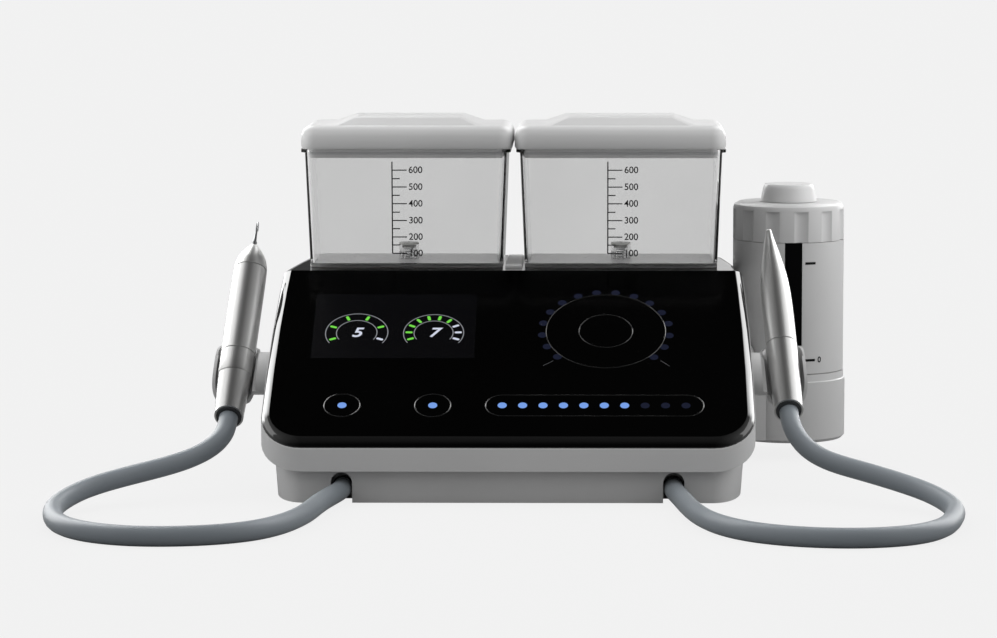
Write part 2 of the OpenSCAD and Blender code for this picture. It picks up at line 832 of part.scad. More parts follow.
module power_supply() {
  z = base_t + standoff_h;
  color(metal)
    difference() {
      block(supply_at[0], supply_at[1], supply_at[2], supply_at[3], z, z + supply_h);
      // vent slots in the lid of the case
      for (k = [-4 : 4])
        block(supply_at[0] + k * 8, supply_at[1], 3.5, supply_at[3] - 20, z + supply_h - 2,
          z + supply_h + 1);
      // room for the terminal block
      block(supply_at[0] + supply_at[2] / 2, supply_at[1], 16, supply_at[3] - 16,
        z + 12, z + supply_h + 1);
    }
}

module water_pump(side) {
  x = side * (half_w - pump_side);
  y0 = front_y + pump_deep - pump_l / 2;
  y1 = y0 + pump_l;
  head = y0 + 14;
  axis_z = base_t + motor_r + 4.5;
  color(metal)
    union() {
      block(x, (y0 + y1) / 2, pump_w, pump_l, base_t, base_t + 3);
      // pump head with its two hose barbs
      block(x, head, pump_w - 2, 24, base_t + 2, axis_z + 16);
      for (k = [-1, 1]) {
        rod_z(3.2, axis_z + 15, axis_z + 19, x + k * 8, head);
        rod_z(2.2, axis_z + 18, axis_z + 26, x + k * 8, head);
      }
      // motor in its saddle
      rod_y(motor_r, head + 11, y1 - 4, x, axis_z);
      block(x, (head + y1) / 2 + 3, 20, pump_l / 2 - 4, base_t + 2, base_t + 10);
      rod_y(5, y1 - 5, y1 - 1, x, axis_z);
    }
}
module left_water_pump() { water_pump(-1); }
module right_water_pump() { water_pump(1); }

module air_valve_block() {
  step = (valves_w - 22) / 2;
  color(metal)
    translate([valves_x, rear_y - valves_rear, base_t])
      difference() {
        union() {
          block(0, 0, valves_w, 26, 0, valves_h);
          for (k = [-1 : 1]) {
            block(k * step, 0, 18, 22, valves_h - 1, valves_h + 24);
            rod_z(4, valves_h + 23, valves_h + 28, k * step, 0);
          }
        }
        // ports along the front of the block
        for (k = [-1 : 1]) rod_y(3, -20, 0, k * step, valves_h / 2);
      }
}

module air_regulator() {
  color(metal)
    translate([half_w - regulator_side, rear_y - regulator_rear, base_t])
      rotate_extrude()
        polygon([[0, 0], [regulator_r, 0], [regulator_r, regulator_h - 18],
          [regulator_r - 2, regulator_h - 16], [regulator_r - 2, regulator_h - 14],
          [regulator_r + 1, regulator_h - 14], [regulator_r + 1, regulator_h - 2],
          [regulator_r - 0.5, regulator_h], [0, regulator_h]]);
}

// ---- rear connectors ----

module power_inlet() {
  color("#151618")
    translate([inlet_x, plinth_rear, rear_z])
      difference() {
        union() {
          rotate([-90, 0, 0]) rplate(48, 27, 4, 0, 2.6);
          translate([-14, -24, -10.5]) cube([28, 24.5, 21]);
        }
        // socket with two clipped corners
        translate([0, 0.1, 0])
          rotate([90, 0, 0])
            translate([0, 0, -3])
              linear_extrude(19)
                polygon([[-12.3, -8.2], [12.3, -8.2], [12.3, 4], [8, 8.2], [-8, 8.2],
                  [-12.3, 4]]);
        // countersunk screw holes in the flange
        for (s = [-1, 1]) rod_y(1.7, -1, 5, s * 19.5, 0);
      }
  // the three blades
  color(metal)
    translate([inlet_x, plinth_rear, rear_z])
      for (p = [[-7, -1], [0, 3], [7, -1]])
        translate([p[0] - 1, -17, p[1] - 2.5]) cube([2, 11, 5]);
}

module switch_frame() {
  w = rocker_w + 0.6;
  h = 2 * 11;
  color("#151618")
    translate([switch_x, plinth_rear, rear_z])
      difference() {
        union() {
          translate([-w / 2 - 2.6, 0, -h / 2 - 2.6]) cube([w + 5.2, 1.8, h + 5.2]);
          translate([-w / 2 - 1.2, -14, -h / 2 - 1]) cube([w + 2.4, 14.5, h + 2]);
        }
        translate([-w / 2, -11, -h / 2]) cube([w, 20, h]);
        rod_x(pin_r + 0.08, -w / 2 - 0.9, w / 2 + 0.9, -1, 0);
      }
}

module power_switch() {
  color("#1B1C1F")
    translate([switch_x, pivot_y, rear_z])
      rotate([rocker_tilt, 0, 0])
        union() {
          rotate([90, 0, 90])
            linear_extrude(rocker_w, center = true)
              polygon([[-3, -6], [2, -9.4], [5, -9.4], [3.2, 0], [5, 9.4], [2, 9.4],
                [-3, 6]]);
          rod_x(pin_r, -rocker_w / 2 - 1, rocker_w / 2 + 1, 0, 0);
        }
}

module air_inlet() {
  color(metal)
    translate([air_x, plinth_rear, rear_z])
      rotate([-90, 0, 0])
        difference() {
          union() {
            cylinder(r = 9, h = 4, $fn = 6);
            rod_z(6.5, 3.5, 7.6);
            rod_z(6, -16, 0.5);
            rod_z(3.2, -24, -15);
          }
          rod_z(4.1, -10, 8);
          rod_z(1.6, -25, 8);
        }
  // nut behind the wall
  color(metal)
    translate([air_x, plinth_rear - plinth_wall - 4, rear_z])
      rotate([-90, 0, 0])
        difference() {
          cylinder(r = 9, h = 4, $fn = 6);
          rod_z(5.9, -1, 5);
        }
}

module pedal_socket() {
  color(metal)
    translate([pedal_x, plinth_rear, rear_z])
      rotate([-90, 0, 0])
        union() {
          difference() {
            union() {
              rod_z(10.5, 0, 2);
              rod_z(8.6, 1, 6.8);
              rod_z(7.5, -14, 1);
            }
            rod_z(6, -4, 8);
          }
          for (a = [45 : 90 : 315])
            rod_z(0.6, -5, 1, 3 * cos(a), 3 * sin(a));
        }
}

// ---- tank ports, hose glands, cradles, dock ----

module tank_port(side) {
  z1 = deck_z;
  z0 = valve_low - 0.3;
  color(pale)
    translate([side * tank_x, tank_y, 0])
      difference() {
        union() {
          rod_z(11, z1 - 1.5, z1);
          rod_z(8.5, z0 - 3, z1 - 1);
          // clamping ring under the top wall
          rod_z(11, deck_low + inner_top - 4, deck_low + inner_top);
          rod_z(4, z0 - 8, z0 - 2);
          rod_z(3, z0 - 18, z0 - 7);
        }
        rod_z(spigot_r + 0.4, z0, z1 + 1);
        rod_z(1.3, z0 - 20, z0 + 1);
      }
}
module left_tank_port() { tank_port(-1); }
module right_tank_port() { tank_port(1); }

module hose_gland(side) {
  y1 = plinth_front + notch_deep;
  color(rubber)
    union() {
      rod_y(notch_w / 2 - 0.25, y1 - gland_l, y1, side * hose_x, hose_z);
      rod_y(4, y1 - 1, y1 + 9, side * hose_x, hose_z);
      // lock nut behind the wall
      rod_y(5, y1 + 3, y1 + 6, side * hose_x, hose_z);
    }
}
module left_hose_gland() { hose_gland(-1); }
module right_hose_gland() { hose_gland(1); }

module holder(side) {
  color(pale)
    difference() {
      union() {
        // round arm from the body to the cradle
        rod_x(arm_r, side * arm_face, holder_at(side), holder_y, holder_z);
        // open half sleeve whose two lips run out in a curve
        hp_frame(side)
          intersection() {
            rod_z(cradle_r, cradle_rise - cradle_h / 2, cradle_rise + cradle_h / 2);
            rod_x(26, -20, 20, 25, cradle_rise);
          }
      }
      hp_frame(side) {
        rod_z(cradle_bore, -60, 60);
        // eased upper end, clear of the part that is pulled off
        rod_z(cradle_bore + cradle_ease, holder_grip, 60);
      }
      // the arm stops at the open front of the cradle
      hp_frame(side)
        translate([-cradle_r - 0.5, -60, -60]) cube([2 * cradle_r + 1, 59, 120]);
      for (k = [-1, 1])
        rod_x(2.1, side * (arm_face - 2), side * (arm_face + 11), holder_y,
          holder_z + k * arm_screw_dz);
    }
}
module left_holder() { holder(-1); }
module right_holder() { holder(1); }

module side_screw(x, dir, y, z) {
  union() {
    rod_x(3.6, x - dir * 2.4, x, y, z);
    rod_x(2, x - dir * 0.5, x + dir * 17, y, z);
  }
}

module side_screws() {
  color(metal)
    for (s = [-1, 1], k = [-1, 1])
      side_screw(s * (arm_face - arm_pad_t), s, holder_y, holder_z + k * arm_screw_dz);
  color(metal)
    for (p = dock_screw_spots) side_screw(dock_face - dock_pad_t, 1, p[0], p[1]);
}

module canister_dock() {
  color(pale)
    difference() {
      union() {
        translate([can_x, can_y, 0])
          rotate_extrude($fn = 96)
            polygon([[0, dock_z], [dock_r - 2, dock_z], [dock_r, dock_z + 2],
              [dock_r, can_seat_z - 5.4], [dock_r - 1, can_seat_z - 4.8],
              [dock_r - 1.2, can_seat_z - 0.3],
              [0, can_seat_z - 0.3]]);
        // broad foot against the body
        translate([dock_face, can_y - 40, dock_z + 2.5])
          cube([can_x - dock_face - 16, 60, can_seat_z - dock_z - 5]);
        // upright web beside the canister, with a rounded shoulder
        translate([dock_face, can_y - 29, 0])
          rotate([90, 0, 0])
            linear_extrude(11)
              union() {
                translate([0, dock_z + 2.5]) square([16, web_top - dock_z - 10.5]);
                translate([0, web_top - 18]) square([8, 18]);
                translate([8, web_top - 8]) circle(8);
              }
      }
      // bore that takes the foot of the canister
      translate([can_x, can_y, 0]) rod_z(cup_r, dock_z + dock_floor, 200);
      // seat for the powder port
      translate([can_x, can_y, 0]) rod_z(3.3, dock_z - 1, dock_z + dock_floor + 1);
      for (p = dock_screw_spots) rod_x(2.1, dock_face - 2, dock_face + 6.5, p[0], p[1]);
    }
}

module canister_port() {
  z = dock_z + dock_floor;
  color(metal)
    translate([can_x, can_y, 0])
      difference() {
        union() {
          rod_z(5.6, z, z + 5.5);
          rod_z(3, dock_z - 3, z + 0.5);
          rod_z(5, dock_z - 3, dock_z);
        }
        rod_z(1.2, dock_z - 4, z + 7);
      }
}

// ---- hoses ----

// The first and last ring stand square to the gland and to the handpiece
function hose_dir(c, i, out) =
  i == 0 ? [0, -1, 0] : i == len(c) - 1 ? -out : along(c, i);

module hose(side, route, t) {
  c = curve(hose_points(side, route, t), 2);
  out = hose_out(side);
  color(rubber)
    skin([for (i = [0 : len(c) - 1])
      tube_ring(c[i], hose_dir(c, i, out), hose_d / 2, 12)]);
}
module left_hose() { hose(-1, left_route, scaler_end); }
module right_hose() { hose(1, right_route, polisher_end); }

// ---- tanks ----

module tank(side) {
  w = tank_w + 2 * tank_lean;
  d = tank_d + 2 * tank_lean;
  color(clear)
    translate([side * tank_x, tank_y, 0])
      difference() {
        union() {
          difference() {
            union() {
              hull() {
                rplate(tank_w, tank_d, tank_r, tank_z, tank_z + 0.1, $fn = 32);
                rplate(w, d, tank_r + 1, tank_top, tank_top + 0.1, $fn = 32);
              }
              rplate(rim_l, rim_d, tank_r + rim_w, tank_top, rim_z);
            }
            hull() {
              rplate(tank_w - 2 * tank_wall, tank_d - 2 * tank_wall, tank_r - tank_wall,
                tank_z + tank_floor, tank_z + tank_floor + 0.1, $fn = 32);
              rplate(w - 2 * tank_wall, d - 2 * tank_wall, lip_r,
                tank_top, rim_z + 1, $fn = 32);
            }
          }
          rod_z(chamber_r + 1.9, tank_z, valve_top);
          rod_z(spigot_r, valve_low, tank_z + 1);
        }
        rod_z(chamber_r, valve_seat, valve_top + 1);
        rod_z(stem_r + 0.6, valve_low - 1, valve_seat + 1);
        // slits that let the water into the valve
        for (a = [0 : 60 : 120])
          rotate([0, 0, a])
            translate([-12, -0.9, tank_z + tank_floor]) cube([24, 1.8, 5]);
      }
}
module left_tank() { tank(-1); }
module right_tank() { tank(1); }

module valve_plunger(side) {
  color(metal)
    translate([side * tank_x, tank_y, 0])
      union() {
        rod_z(3.6, valve_seat + 0.05, valve_seat + 2);
        rod_z(stem_r, valve_low + 0.2, valve_seat + 1);
        rod_z(1.4, valve_seat + 1.5, valve_seat + 5);
      }
}
module left_valve_plunger() { valve_plunger(-1); }
module right_valve_plunger() { valve_plunger(1); }

spring_z0 = valve_seat + 2 + spring_wire / 2 + 0.05;
spring_z1 = valve_top - retainer_t - spring_wire / 2 - 0.05;
spring_r = 3.6 - spring_wire / 2;
function spring_point(s) =
  [spring_r * cos(360 * spring_curls * s), spring_r * sin(360 * spring_curls * s),
  spring_z0 + (spring_z1 - spring_z0) * s];
// The least gap between neighbouring curls
spring_gap = (spring_z1 - spring_z0) / spring_curls - spring_wire;
echo(least_gap_of_valve_spring = spring_gap);

module valve_spring(side) {
  n = spring_curls * 8;
  c = [for (i = [0 : n]) spring_point(i / n)];
  color(metal)
    translate([side * tank_x, tank_y, 0])
      skin([for (i = [0 : n]) tube_ring(c[i], along(c, i), spring_wire / 2, 6)]);
}
module left_valve_spring() { valve_spring(-1); }
module right_valve_spring() { valve_spring(1); }

module valve_retainer(side) {
  color("#D8D8D8")
    translate([side * tank_x, tank_y, 0])
      difference() {
        union() {
          rod_z(chamber_r + 1.9, valve_top, valve_top + 1.2);
          rod_z(chamber_r - 0.1, valve_top - retainer_t, valve_top + 0.5);
        }
        rod_z(1.2, valve_top - 5, valve_top + 5);
        for (a = [0, 90])
          rotate([0, 0, a]) translate([-3.4, -0.7, valve_top - 5]) cube([6.8, 1.4, 10]);
      }
}
module left_valve_retainer() { valve_retainer(-1); }
module right_valve_retainer() { valve_retainer(1); }

// One level of the lid's rounded outside
module lid_level(i, z) {
  rplate(lid_w - 2 * i, lid_d - 2 * i, 10 - i, z, z + 0.05, $fn = 32);
}

module tank_lid(side) {
  x = side * (tank_x - lid_shift);
  top = lid_z + lid_h;
  color(pale)
    difference() {
      union() {
        translate([x, tank_y, 0]) {
          hull() {
            lid_level(0.8, lid_z);
            lid_level(0, lid_z + 1.5);
            lid_level(0, lid_z + lid_h * 0.55);
            lid_level(1.2, lid_z + lid_h * 0.8);
            lid_level(3.6, lid_z + lid_h * 0.95);
            lid_level(7, top - 0.05);
          }
          // raised middle
          hull() {
            rplate(lid_w - 37, lid_d - 18, 6, top - 0.5, top, $fn = 32);
            rplate(lid_w - 63, lid_d - 30, 4, top + crown_h - 0.6, top + crown_h - 0.5,
              $fn = 32);
            rplate(lid_w - 65, lid_d - 32, 3, top + crown_h - 0.1, top + crown_h, $fn = 32);
          }
        }
        // lip that goes into the tank
        translate([side * tank_x, tank_y, 0])
          rplate(lip_l, lip_d, lip_r, lid_z - lip_h, lid_z + 1);
      }
      // hollow under the lid
      translate([side * tank_x, tank_y, 0])
        rplate(lip_l - 2 * lid_wall, lip_d - 2 * lid_wall, lip_r - 1.5,
          lid_z - lip_h - 1, top - lid_wall - 1);
      // groove for the seal
      translate([side * tank_x, tank_y, 0])
        difference() {
          rplate(lip_l + 4, lip_d + 4, lip_r, lid_z - 4, lid_z - 2);
          rplate(lip_l - 2, lip_d - 2, lip_r - 1, lid_z - 5, lid_z - 1);
        }
    }
}
module left_tank_lid() { tank_lid(-1); }
module right_tank_lid() { tank_lid(1); }

module lid_seal(side) {
  color(rubber)
    translate([side * tank_x, tank_y, 0])
      difference() {
        rplate(lip_l + 0.8, lip_d + 0.8, lip_r + 0.4, lid_z - 3.9, lid_z - 2.1);
        rplate(lip_l - 2, lip_d - 2, lip_r - 1, lid_z - 5, lid_z - 1);
      }
}
module left_lid_seal() { lid_seal(-1); }
module right_lid_seal() { lid_seal(1); }

// ---- powder canister ----

module on_canister() {
  translate([can_x, can_y, 0]) rotate([0, 0, slot_turn]) children();
}

module canister_body() {
  ri = can_r - can_wall;
  color(pale)
    on_canister()
      difference() {
        rotate_extrude($fn = 96)
          polygon([[0, can_low], [cup_r - 1.3, can_low], [cup_r - 0.3, can_low + 1],
            [cup_r - 0.3, can_seat_z], [can_r - 0.4, can_seat_z], [can_r, can_seat_z + 0.4],
            [can_r, can_top_z], [neck_r, can_top_z], [neck_r, neck_top - 0.8],
            [neck_r - 0.8, neck_top], [neck_in, neck_top], [neck_in, can_top_z - 2],
            [ri, can_top_z - 7], [ri, can_low + can_base], [0, can_low + can_base]]);
        // socket for the powder port
        rod_z(5.9, can_low - 1, can_low + 5.7);
        rod_z(1.4, can_low, can_low + can_base + 1);
        // slot for the sight window
        translate([-slot_w / 2, -can_r - 5, slot_z])
          cube([slot_w, 5 + can_wall + 3, can_top_z - slot_z + 0.01]);
      }
}

module sight_window() {
  color(black)
    on_canister()
      difference() {
        intersection() {
          rod_z(can_r - 0.3, slot_z + 0.15, can_top_z);
          translate([-slot_w / 2 + 0.15, -can_r - 5, slot_z])
            cube([slot_w - 0.3, 12, can_top_z - slot_z]);
        }
        rod_z(can_r - can_wall + 0.3, slot_z - 5, can_top_z + 5);
        translate([-slot_w, -neck_in, slot_z - 5]) cube([2 * slot_w, 20, 100]);
      }
}

module powder_tube() {
  z0 = can_low + can_base;
  color(steel)
    on_canister()
      difference() {
        union() {
          rod_z(5, z0, z0 + 4);
          rod_z(2.5, z0 + 3, can_top_z - 18);
        }
        rod_z(1.2, z0 - 1, can_top_z);
        for (k = [0 : 2]) rod_x(0.8, -5, 5, 0, can_top_z - 22 - k * 4);
      }
}

module canister_cap() {
  color(pale)
    on_canister()
      difference() {
        rotate_extrude($fn = 96)
          polygon([[neck_r + 0.4, cap_z], [can_r, cap_z], [can_r, cap_top - 3.5],
            [can_r - 1, cap_top - 1.4], [can_r - 3.5, cap_top], [4.15, cap_top],
            [4.15, cap_in_z], [neck_r + 0.4, cap_in_z]]);
        for (k = [0 : flutes - 1])
          rotate([0, 0, k * 360 / flutes + 8])
            translate([can_r + 10 - flute_deep, 0, cap_z - 1])
              cylinder(r = 10, h = cap_h - 3.5);
      }
}

module cap_seal() {
  color(rubber)
    on_canister()
      difference() {
        rod_z(neck_r - 0.3, neck_top + 0.3, cap_in_z);
        rod_z(neck_in + 0.3, neck_top - 1, cap_in_z + 1);
      }
}

module cap_knob() {
  color(pale)
    on_canister()
      difference() {
        rotate_extrude($fn = 64)
          polygon([[0, cap_in_z - 2.6], [7, cap_in_z - 2.6], [7, cap_in_z - 0.2],
            [4, cap_in_z - 0.2], [4, knob_z], [knob_r, knob_z],
            [knob_r - 2, knob_z + knob_h - 1.6], [knob_r - 3.2, knob_z + knob_h],
            [0, knob_z + knob_h]]);
        // vent passage through the stem
        rod_z(1, cap_in_z - 5, knob_z + 4);
        rod_x(1, 0, knob_r + 2, 0, knob_z + 3);
      }
}

// ---- handpieces ----

// Everything beyond the slanted hose end of a coupler
module beyond_end(t, out) {
  translate([0, 0, t])
    rotate([-end_tilt, 0, 0])
      translate([-30, -30, -60 - out]) cube([60, 60, 60]);
}

// Coupler from its slanted end to its plug; r is its radius at the front and g the
// depth of the small step behind it
module coupler(side, t0, t1, r, g) {
  color(steel)
    hp_frame(side)
      difference() {
        rotate_extrude()
          polygon([[0, t0 - 5], [coupler_r, t0 - 5], [coupler_r, t0 + 2],
            [r - g, t1 - step_back - 0.5], [r, t1 - step_back + 0.5],
            [r, t1], [plug_r, t1], [plug_r, t1 + 3], [plug_r - 0.9, t1 + 3],
            [plug_r - 0.9, t1 + 5], [plug_r, t1 + 5], [plug_r, t1 + 8],
            [plug_r - 0.9, t1 + 8], [plug_r - 0.9, t1 + 10], [plug_r, t1 + 10],
            [plug_r, t1 + plug_l - 1], [plug_r - 1, t1 + plug_l], [0, t1 + plug_l]]);
        beyond_end(t0, 0);
        rod_z(coupler_in, t0 - 10, t0 + collar_deep);
        // water or powder way
        rod_z(1.5, t0, t1 + plug_l + 1);
      }
}
module scaler_coupler() { coupler(-1, scaler_end, scaler_seam, scaler_r, 0.4); }
module polisher_coupler() { coupler(1, polisher_end, polisher_seam, polisher_r, 0); }

// Soft ring that closes the coupler round the hose
module collar(side, t0) {
  color("#3A3C3F")
    hp_frame(side)
      difference() {
        rod_z(coupler_in - 0.15, t0 - 8, t0 + collar_deep);
        beyond_end(t0, collar_proud);
      }
}
module scaler_collar() { collar(-1, scaler_end); }
module polisher_collar() { collar(1, polisher_end); }

sleeve_t = scaler_seam + hp_seam;
nose_t = sleeve_t + sleeve_l + hp_seam;
nose_top = nose_t + nose_l;

module scaler_sleeve() {
  r = scaler_r;
  color(steel)
    hp_frame(-1)
      rotate_extrude()
        polygon([[plug_r + plug_gap, sleeve_t], [r, sleeve_t],
          [r, sleeve_t + sleeve_l - 14], [r - 0.2, sleeve_t + sleeve_l],
          [8.6, sleeve_t + sleeve_l], [8.6, sleeve_t + plug_l + 4],
          [plug_r + plug_gap, sleeve_t + plug_l + 4]]);
}

module scaler_transducer() {
  t0 = sleeve_t + plug_l + 4;
  color(metal)
    hp_frame(-1)
      rotate_extrude()
        polygon([[0, t0 + 0.5], [6.6, t0 + 0.5], [6.6, t0 + 2], [5.4, t0 + 2],
          [5.4, t0 + 24], [6.6, t0 + 24], [6.6, t0 + 27], [8.5, t0 + 27],
          [8.5, t0 + 29], [5.6, t0 + 29], [4.4, nose_t - 2], [2.6, nose_t + 6],
          [1.5, nose_top - 5], [1.5, nose_top - 1], [0, nose_top - 1]]);
}

module scaler_nose() {
  r = scaler_r - 0.2;
  color(steel)
    hp_frame(-1)
      difference() {
        rotate_extrude()
          polygon([[0, nose_t], [r, nose_t], [r - 0.3, nose_t + nose_l * 0.15],
            [r - 1, nose_t + nose_l * 0.33], [r - 2.1, nose_t + nose_l * 0.5],
            [r - 3.6, nose_t + nose_l * 0.66], [r - 5.5, nose_t + nose_l * 0.81],
            [r - 7.2, nose_t + nose_l * 0.92], [2.5, nose_top], [0, nose_top]]);
        rotate_extrude()
          polygon([[0, nose_t - 1], [r - 2, nose_t - 1], [r - 2.4, nose_t + 2],
            [r - 4, nose_t + nose_l * 0.35], [3.4, nose_t + nose_l * 0.68],
            [1.95, nose_t + nose_l * 0.72], [1.95, nose_top + 1], [0, nose_top + 1]]);
      }
}

// Middle line of the scaler tip: up, over toward the user, and down
tip_line = [[0, 0, 3.4], [0, 0.2, 7], [0, 0.6, 11], [0, 0.8, 15], [0.1, -0.2, 18.4],
  [0.5, -2.4, 18.6], [1.1, -3.8, 15.6], [1.5, -4.6, 12], [1.7, -5, 9.5]];
tip_rods = [1.25, 1.1, 0.9, 0.8, 0.7, 0.6, 0.5, 0.35, 0.2];
module scaler_tip() {
  c = curve(tip_line, 2);
  n = len(c) - 1;
  t0 = nose_top - 1;
  color(steel)
    hp_frame(-1)
      union() {
        // threaded foot with two wrench flats
        difference() {
          rod_z(1.65, t0 + 0.05, t0 + 4.2);
          for (s = [-1, 1])
            translate([s * 2.35 - 1, -3, t0 + 1.6]) cube([2, 6, 2]);
        }
        translate([0, 0, t0])
          skin([for (i = [0 : n]) tip_ring(c, i, rod_at(i / n), 8)]);
      }
}
function rod_at(s) = lookup(s * 8, [for (k = [0 : 8]) [k, tip_rods[k]]]);
function tip_ring(c, i, r, sides) =
  let (dir = i == 0 ? [0, 0, 1] : along(c, i))
  let (u = unit(cross(dir, [0.86, 0.5, 0])))
  let (v = cross(u, dir))
  [for (k = [0 : sides - 1])
    c[i] + r * (cos(360 * k / sides) * u + sin(360 * k / sides) * v)];

nozzle_t = polisher_seam + hp_seam;
nozzle_top = nozzle_t + nozzle_l;
module polisher_nozzle() {
  r = polisher_r;
  l = nozzle_l;
  color(steel)
    hp_frame(1)
      difference() {
        rotate_extrude()
          polygon([[0, nozzle_t], [r, nozzle_t], [r + 0.1, nozzle_t + l * 0.2],
            [r, nozzle_t + l * 0.38], [r - 0.6, nozzle_t + l * 0.5],
            [r - 1.4, nozzle_t + l * 0.59], [r - 2.6, nozzle_t + l * 0.68],
            [r - 3.6, nozzle_t + l * 0.74], [r - 5.1, nozzle_t + l * 0.83],
            [r - 6.2, nozzle_t + l * 0.89], [r - 7, nozzle_t + l * 0.93],
            [r - 7.5, nozzle_t + l * 0.965], [r - 7.8, nozzle_t + l * 0.985],
            [r - 8.2, nozzle_top - 0.5], [r - 8.8, nozzle_top], [0, nozzle_top]]);
        rod_z(plug_r + plug_gap, nozzle_t - 1, nozzle_t + plug_l + 2);
        rotate_extrude()
          polygon([[0, nozzle_t + plug_l], [5.5, nozzle_t + plug_l], [5.5, nozzle_t + l * 0.5],
            [1.1, nozzle_t + l * 0.93], [0.7, nozzle_t + l * 0.93],
            [0.7, nozzle_top + 1], [0, nozzle_top + 1]]);
      }
}

module polisher_tube() {
  t0 = nozzle_t + plug_l + 2;
  color(metal)
    hp_frame(1)
      difference() {
        union() {
          rod_z(5.3, t0, t0 + 6);
          rod_z(1.3, t0 + 5, nozzle_t + nozzle_l * 0.82);
        }
        rod_z(0.6, t0 - 1, nozzle_top);
      }
}

lower_housing();
bottom_cover();
rubber_feet();
bottom_screws();
upper_housing();
front_panel();
display_module();
touch_board();
deck_cover();
deck_divider();
control_board();
power_supply();
left_water_pump();
right_water_pump();
air_valve_block();
air_regulator();
power_inlet();
switch_frame();
power_switch();
air_inlet();
pedal_socket();
left_tank_port();
right_tank_port();
left_hose_gland();
right_hose_gland();
left_holder();
right_holder();
side_screws();
canister_dock();
canister_port();
left_hose();
right_hose();
left_tank();
left_tank_lid();
left_lid_seal();
left_valve_plunger();
left_valve_spring();
left_valve_retainer();
right_tank();
right_tank_lid();
right_lid_seal();
right_valve_plunger();
right_valve_spring();
right_valve_retainer();
canister_body();
sight_window();
powder_tube();
canister_cap();
cap_seal();
cap_knob();
scaler_coupler();
scaler_collar();
scaler_sleeve();
scaler_transducer();
scaler_nose();
scaler_tip();
polisher_coupler();
polisher_collar();
polisher_nozzle();
polisher_tube();
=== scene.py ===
# Dressed model of a table-top ultrasonic scaler and air polisher: a sloped
# black glass control panel in a pale housing, two clear water tanks, a powder
# canister in a side dock, and two steel handpieces on soft hoses.
import json
import math
import bmesh
import bpy
from mathutils import Matrix, Vector

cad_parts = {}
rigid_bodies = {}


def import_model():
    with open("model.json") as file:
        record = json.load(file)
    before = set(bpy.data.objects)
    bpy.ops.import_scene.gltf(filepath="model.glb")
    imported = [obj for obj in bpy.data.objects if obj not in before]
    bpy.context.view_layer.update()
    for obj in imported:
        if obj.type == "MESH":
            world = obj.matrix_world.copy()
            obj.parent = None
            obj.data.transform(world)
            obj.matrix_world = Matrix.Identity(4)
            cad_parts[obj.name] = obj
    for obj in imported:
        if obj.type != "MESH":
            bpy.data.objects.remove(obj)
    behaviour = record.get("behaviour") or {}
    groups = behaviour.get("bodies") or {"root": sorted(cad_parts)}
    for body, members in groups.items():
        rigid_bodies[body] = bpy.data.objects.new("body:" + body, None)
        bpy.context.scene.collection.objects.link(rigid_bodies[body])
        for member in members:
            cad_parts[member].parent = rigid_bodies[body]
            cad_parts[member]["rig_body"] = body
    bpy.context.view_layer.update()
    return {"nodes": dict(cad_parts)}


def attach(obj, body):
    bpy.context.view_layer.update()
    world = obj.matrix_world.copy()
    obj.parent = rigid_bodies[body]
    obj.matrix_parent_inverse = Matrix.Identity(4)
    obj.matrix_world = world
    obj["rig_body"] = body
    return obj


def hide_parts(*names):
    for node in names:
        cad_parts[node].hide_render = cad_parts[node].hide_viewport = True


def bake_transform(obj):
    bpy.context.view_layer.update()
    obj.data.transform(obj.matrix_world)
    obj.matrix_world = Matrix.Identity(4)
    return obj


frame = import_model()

nodes = frame["nodes"]
MM = 0.001


def mm(x, y, z):
    """A point or vector in metres from millimetres."""
    return Vector((x * MM, y * MM, z * MM))


def placed(name, data):
    """A new object in the scene."""
    obj = bpy.data.objects.new(name, data)
    bpy.context.scene.collection.objects.link(obj)
    return obj


# ---- camera: a long lens, a little above the unit and right of its middle ----
# The photograph is a crop: its centre of view lies right of the frame's middle.
FRAME_WIDTH, FOCAL_LENGTH, VIEW_CENTRE = 997, 3600, 570.8  # in pixels of the photograph
camera_data = bpy.data.cameras.new("camera")
camera_data.sensor_width = 36.0
camera_data.lens = FOCAL_LENGTH / FRAME_WIDTH * camera_data.sensor_width
camera_data.shift_x = (FRAME_WIDTH / 2 - VIEW_CENTRE) / FRAME_WIDTH
camera_data.clip_end = 200.0
camera = placed("camera", camera_data)
camera.location = (0.0576, -2.295, 0.360)
camera.rotation_euler = (math.radians(90 - 6.48), 0, math.radians(0.5))
bpy.context.scene.camera = camera
bpy.context.scene.view_settings.view_transform = "Standard"


# ---- places, in millimetres; side is -1 for the left and 1 for the right ----
SLOPE = math.radians(31)
PANEL = Matrix.Translation(mm(0, -130, 38.5)) @ Matrix.Rotation(SLOPE, 4, "X")
CANISTER = Matrix.Translation(mm(181.2, 86, 0)) @ Matrix.Rotation(math.radians(2.6), 4, "Z")
TANK_X, TANK_Y, TANK_Z = 69.9, 73.0, 128.93
TANK_HALF_DEPTH = 36
TANK_FLOOR = 2.7  # thickness, with a little to spare
TANK_DRAFT = 2.29  # degrees that a tank's wall leans out
CRADLE_X, CRADLE_Y, CRADLE_Z = 174, -42, 69.3
POLISHER_INSET = 1.2  # the right cradle stands this much nearer
HANDPIECE_LEAN, HANDPIECE_PITCH = 5, 40  # degrees, sideways and back


def cradle(side):
    """Axes of a handpiece in its cradle, Z along it toward the tip."""
    inset = POLISHER_INSET if side > 0 else 0
    return (Matrix.Translation(mm(CRADLE_X * side - inset, CRADLE_Y, CRADLE_Z))
            @ Matrix.Rotation(math.radians(-side * HANDPIECE_LEAN), 4, "Y")
            @ Matrix.Rotation(math.radians(-HANDPIECE_PITCH), 4, "X"))


def tank_front(side):
    """Axes on the front wall of a tank, X across, Y up the wall, Z out of it."""
    return (Matrix.Translation(mm(side * TANK_X, TANK_Y - TANK_HALF_DEPTH, TANK_Z))
            @ Matrix.Rotation(math.radians(90 + TANK_DRAFT), 4, "X"))


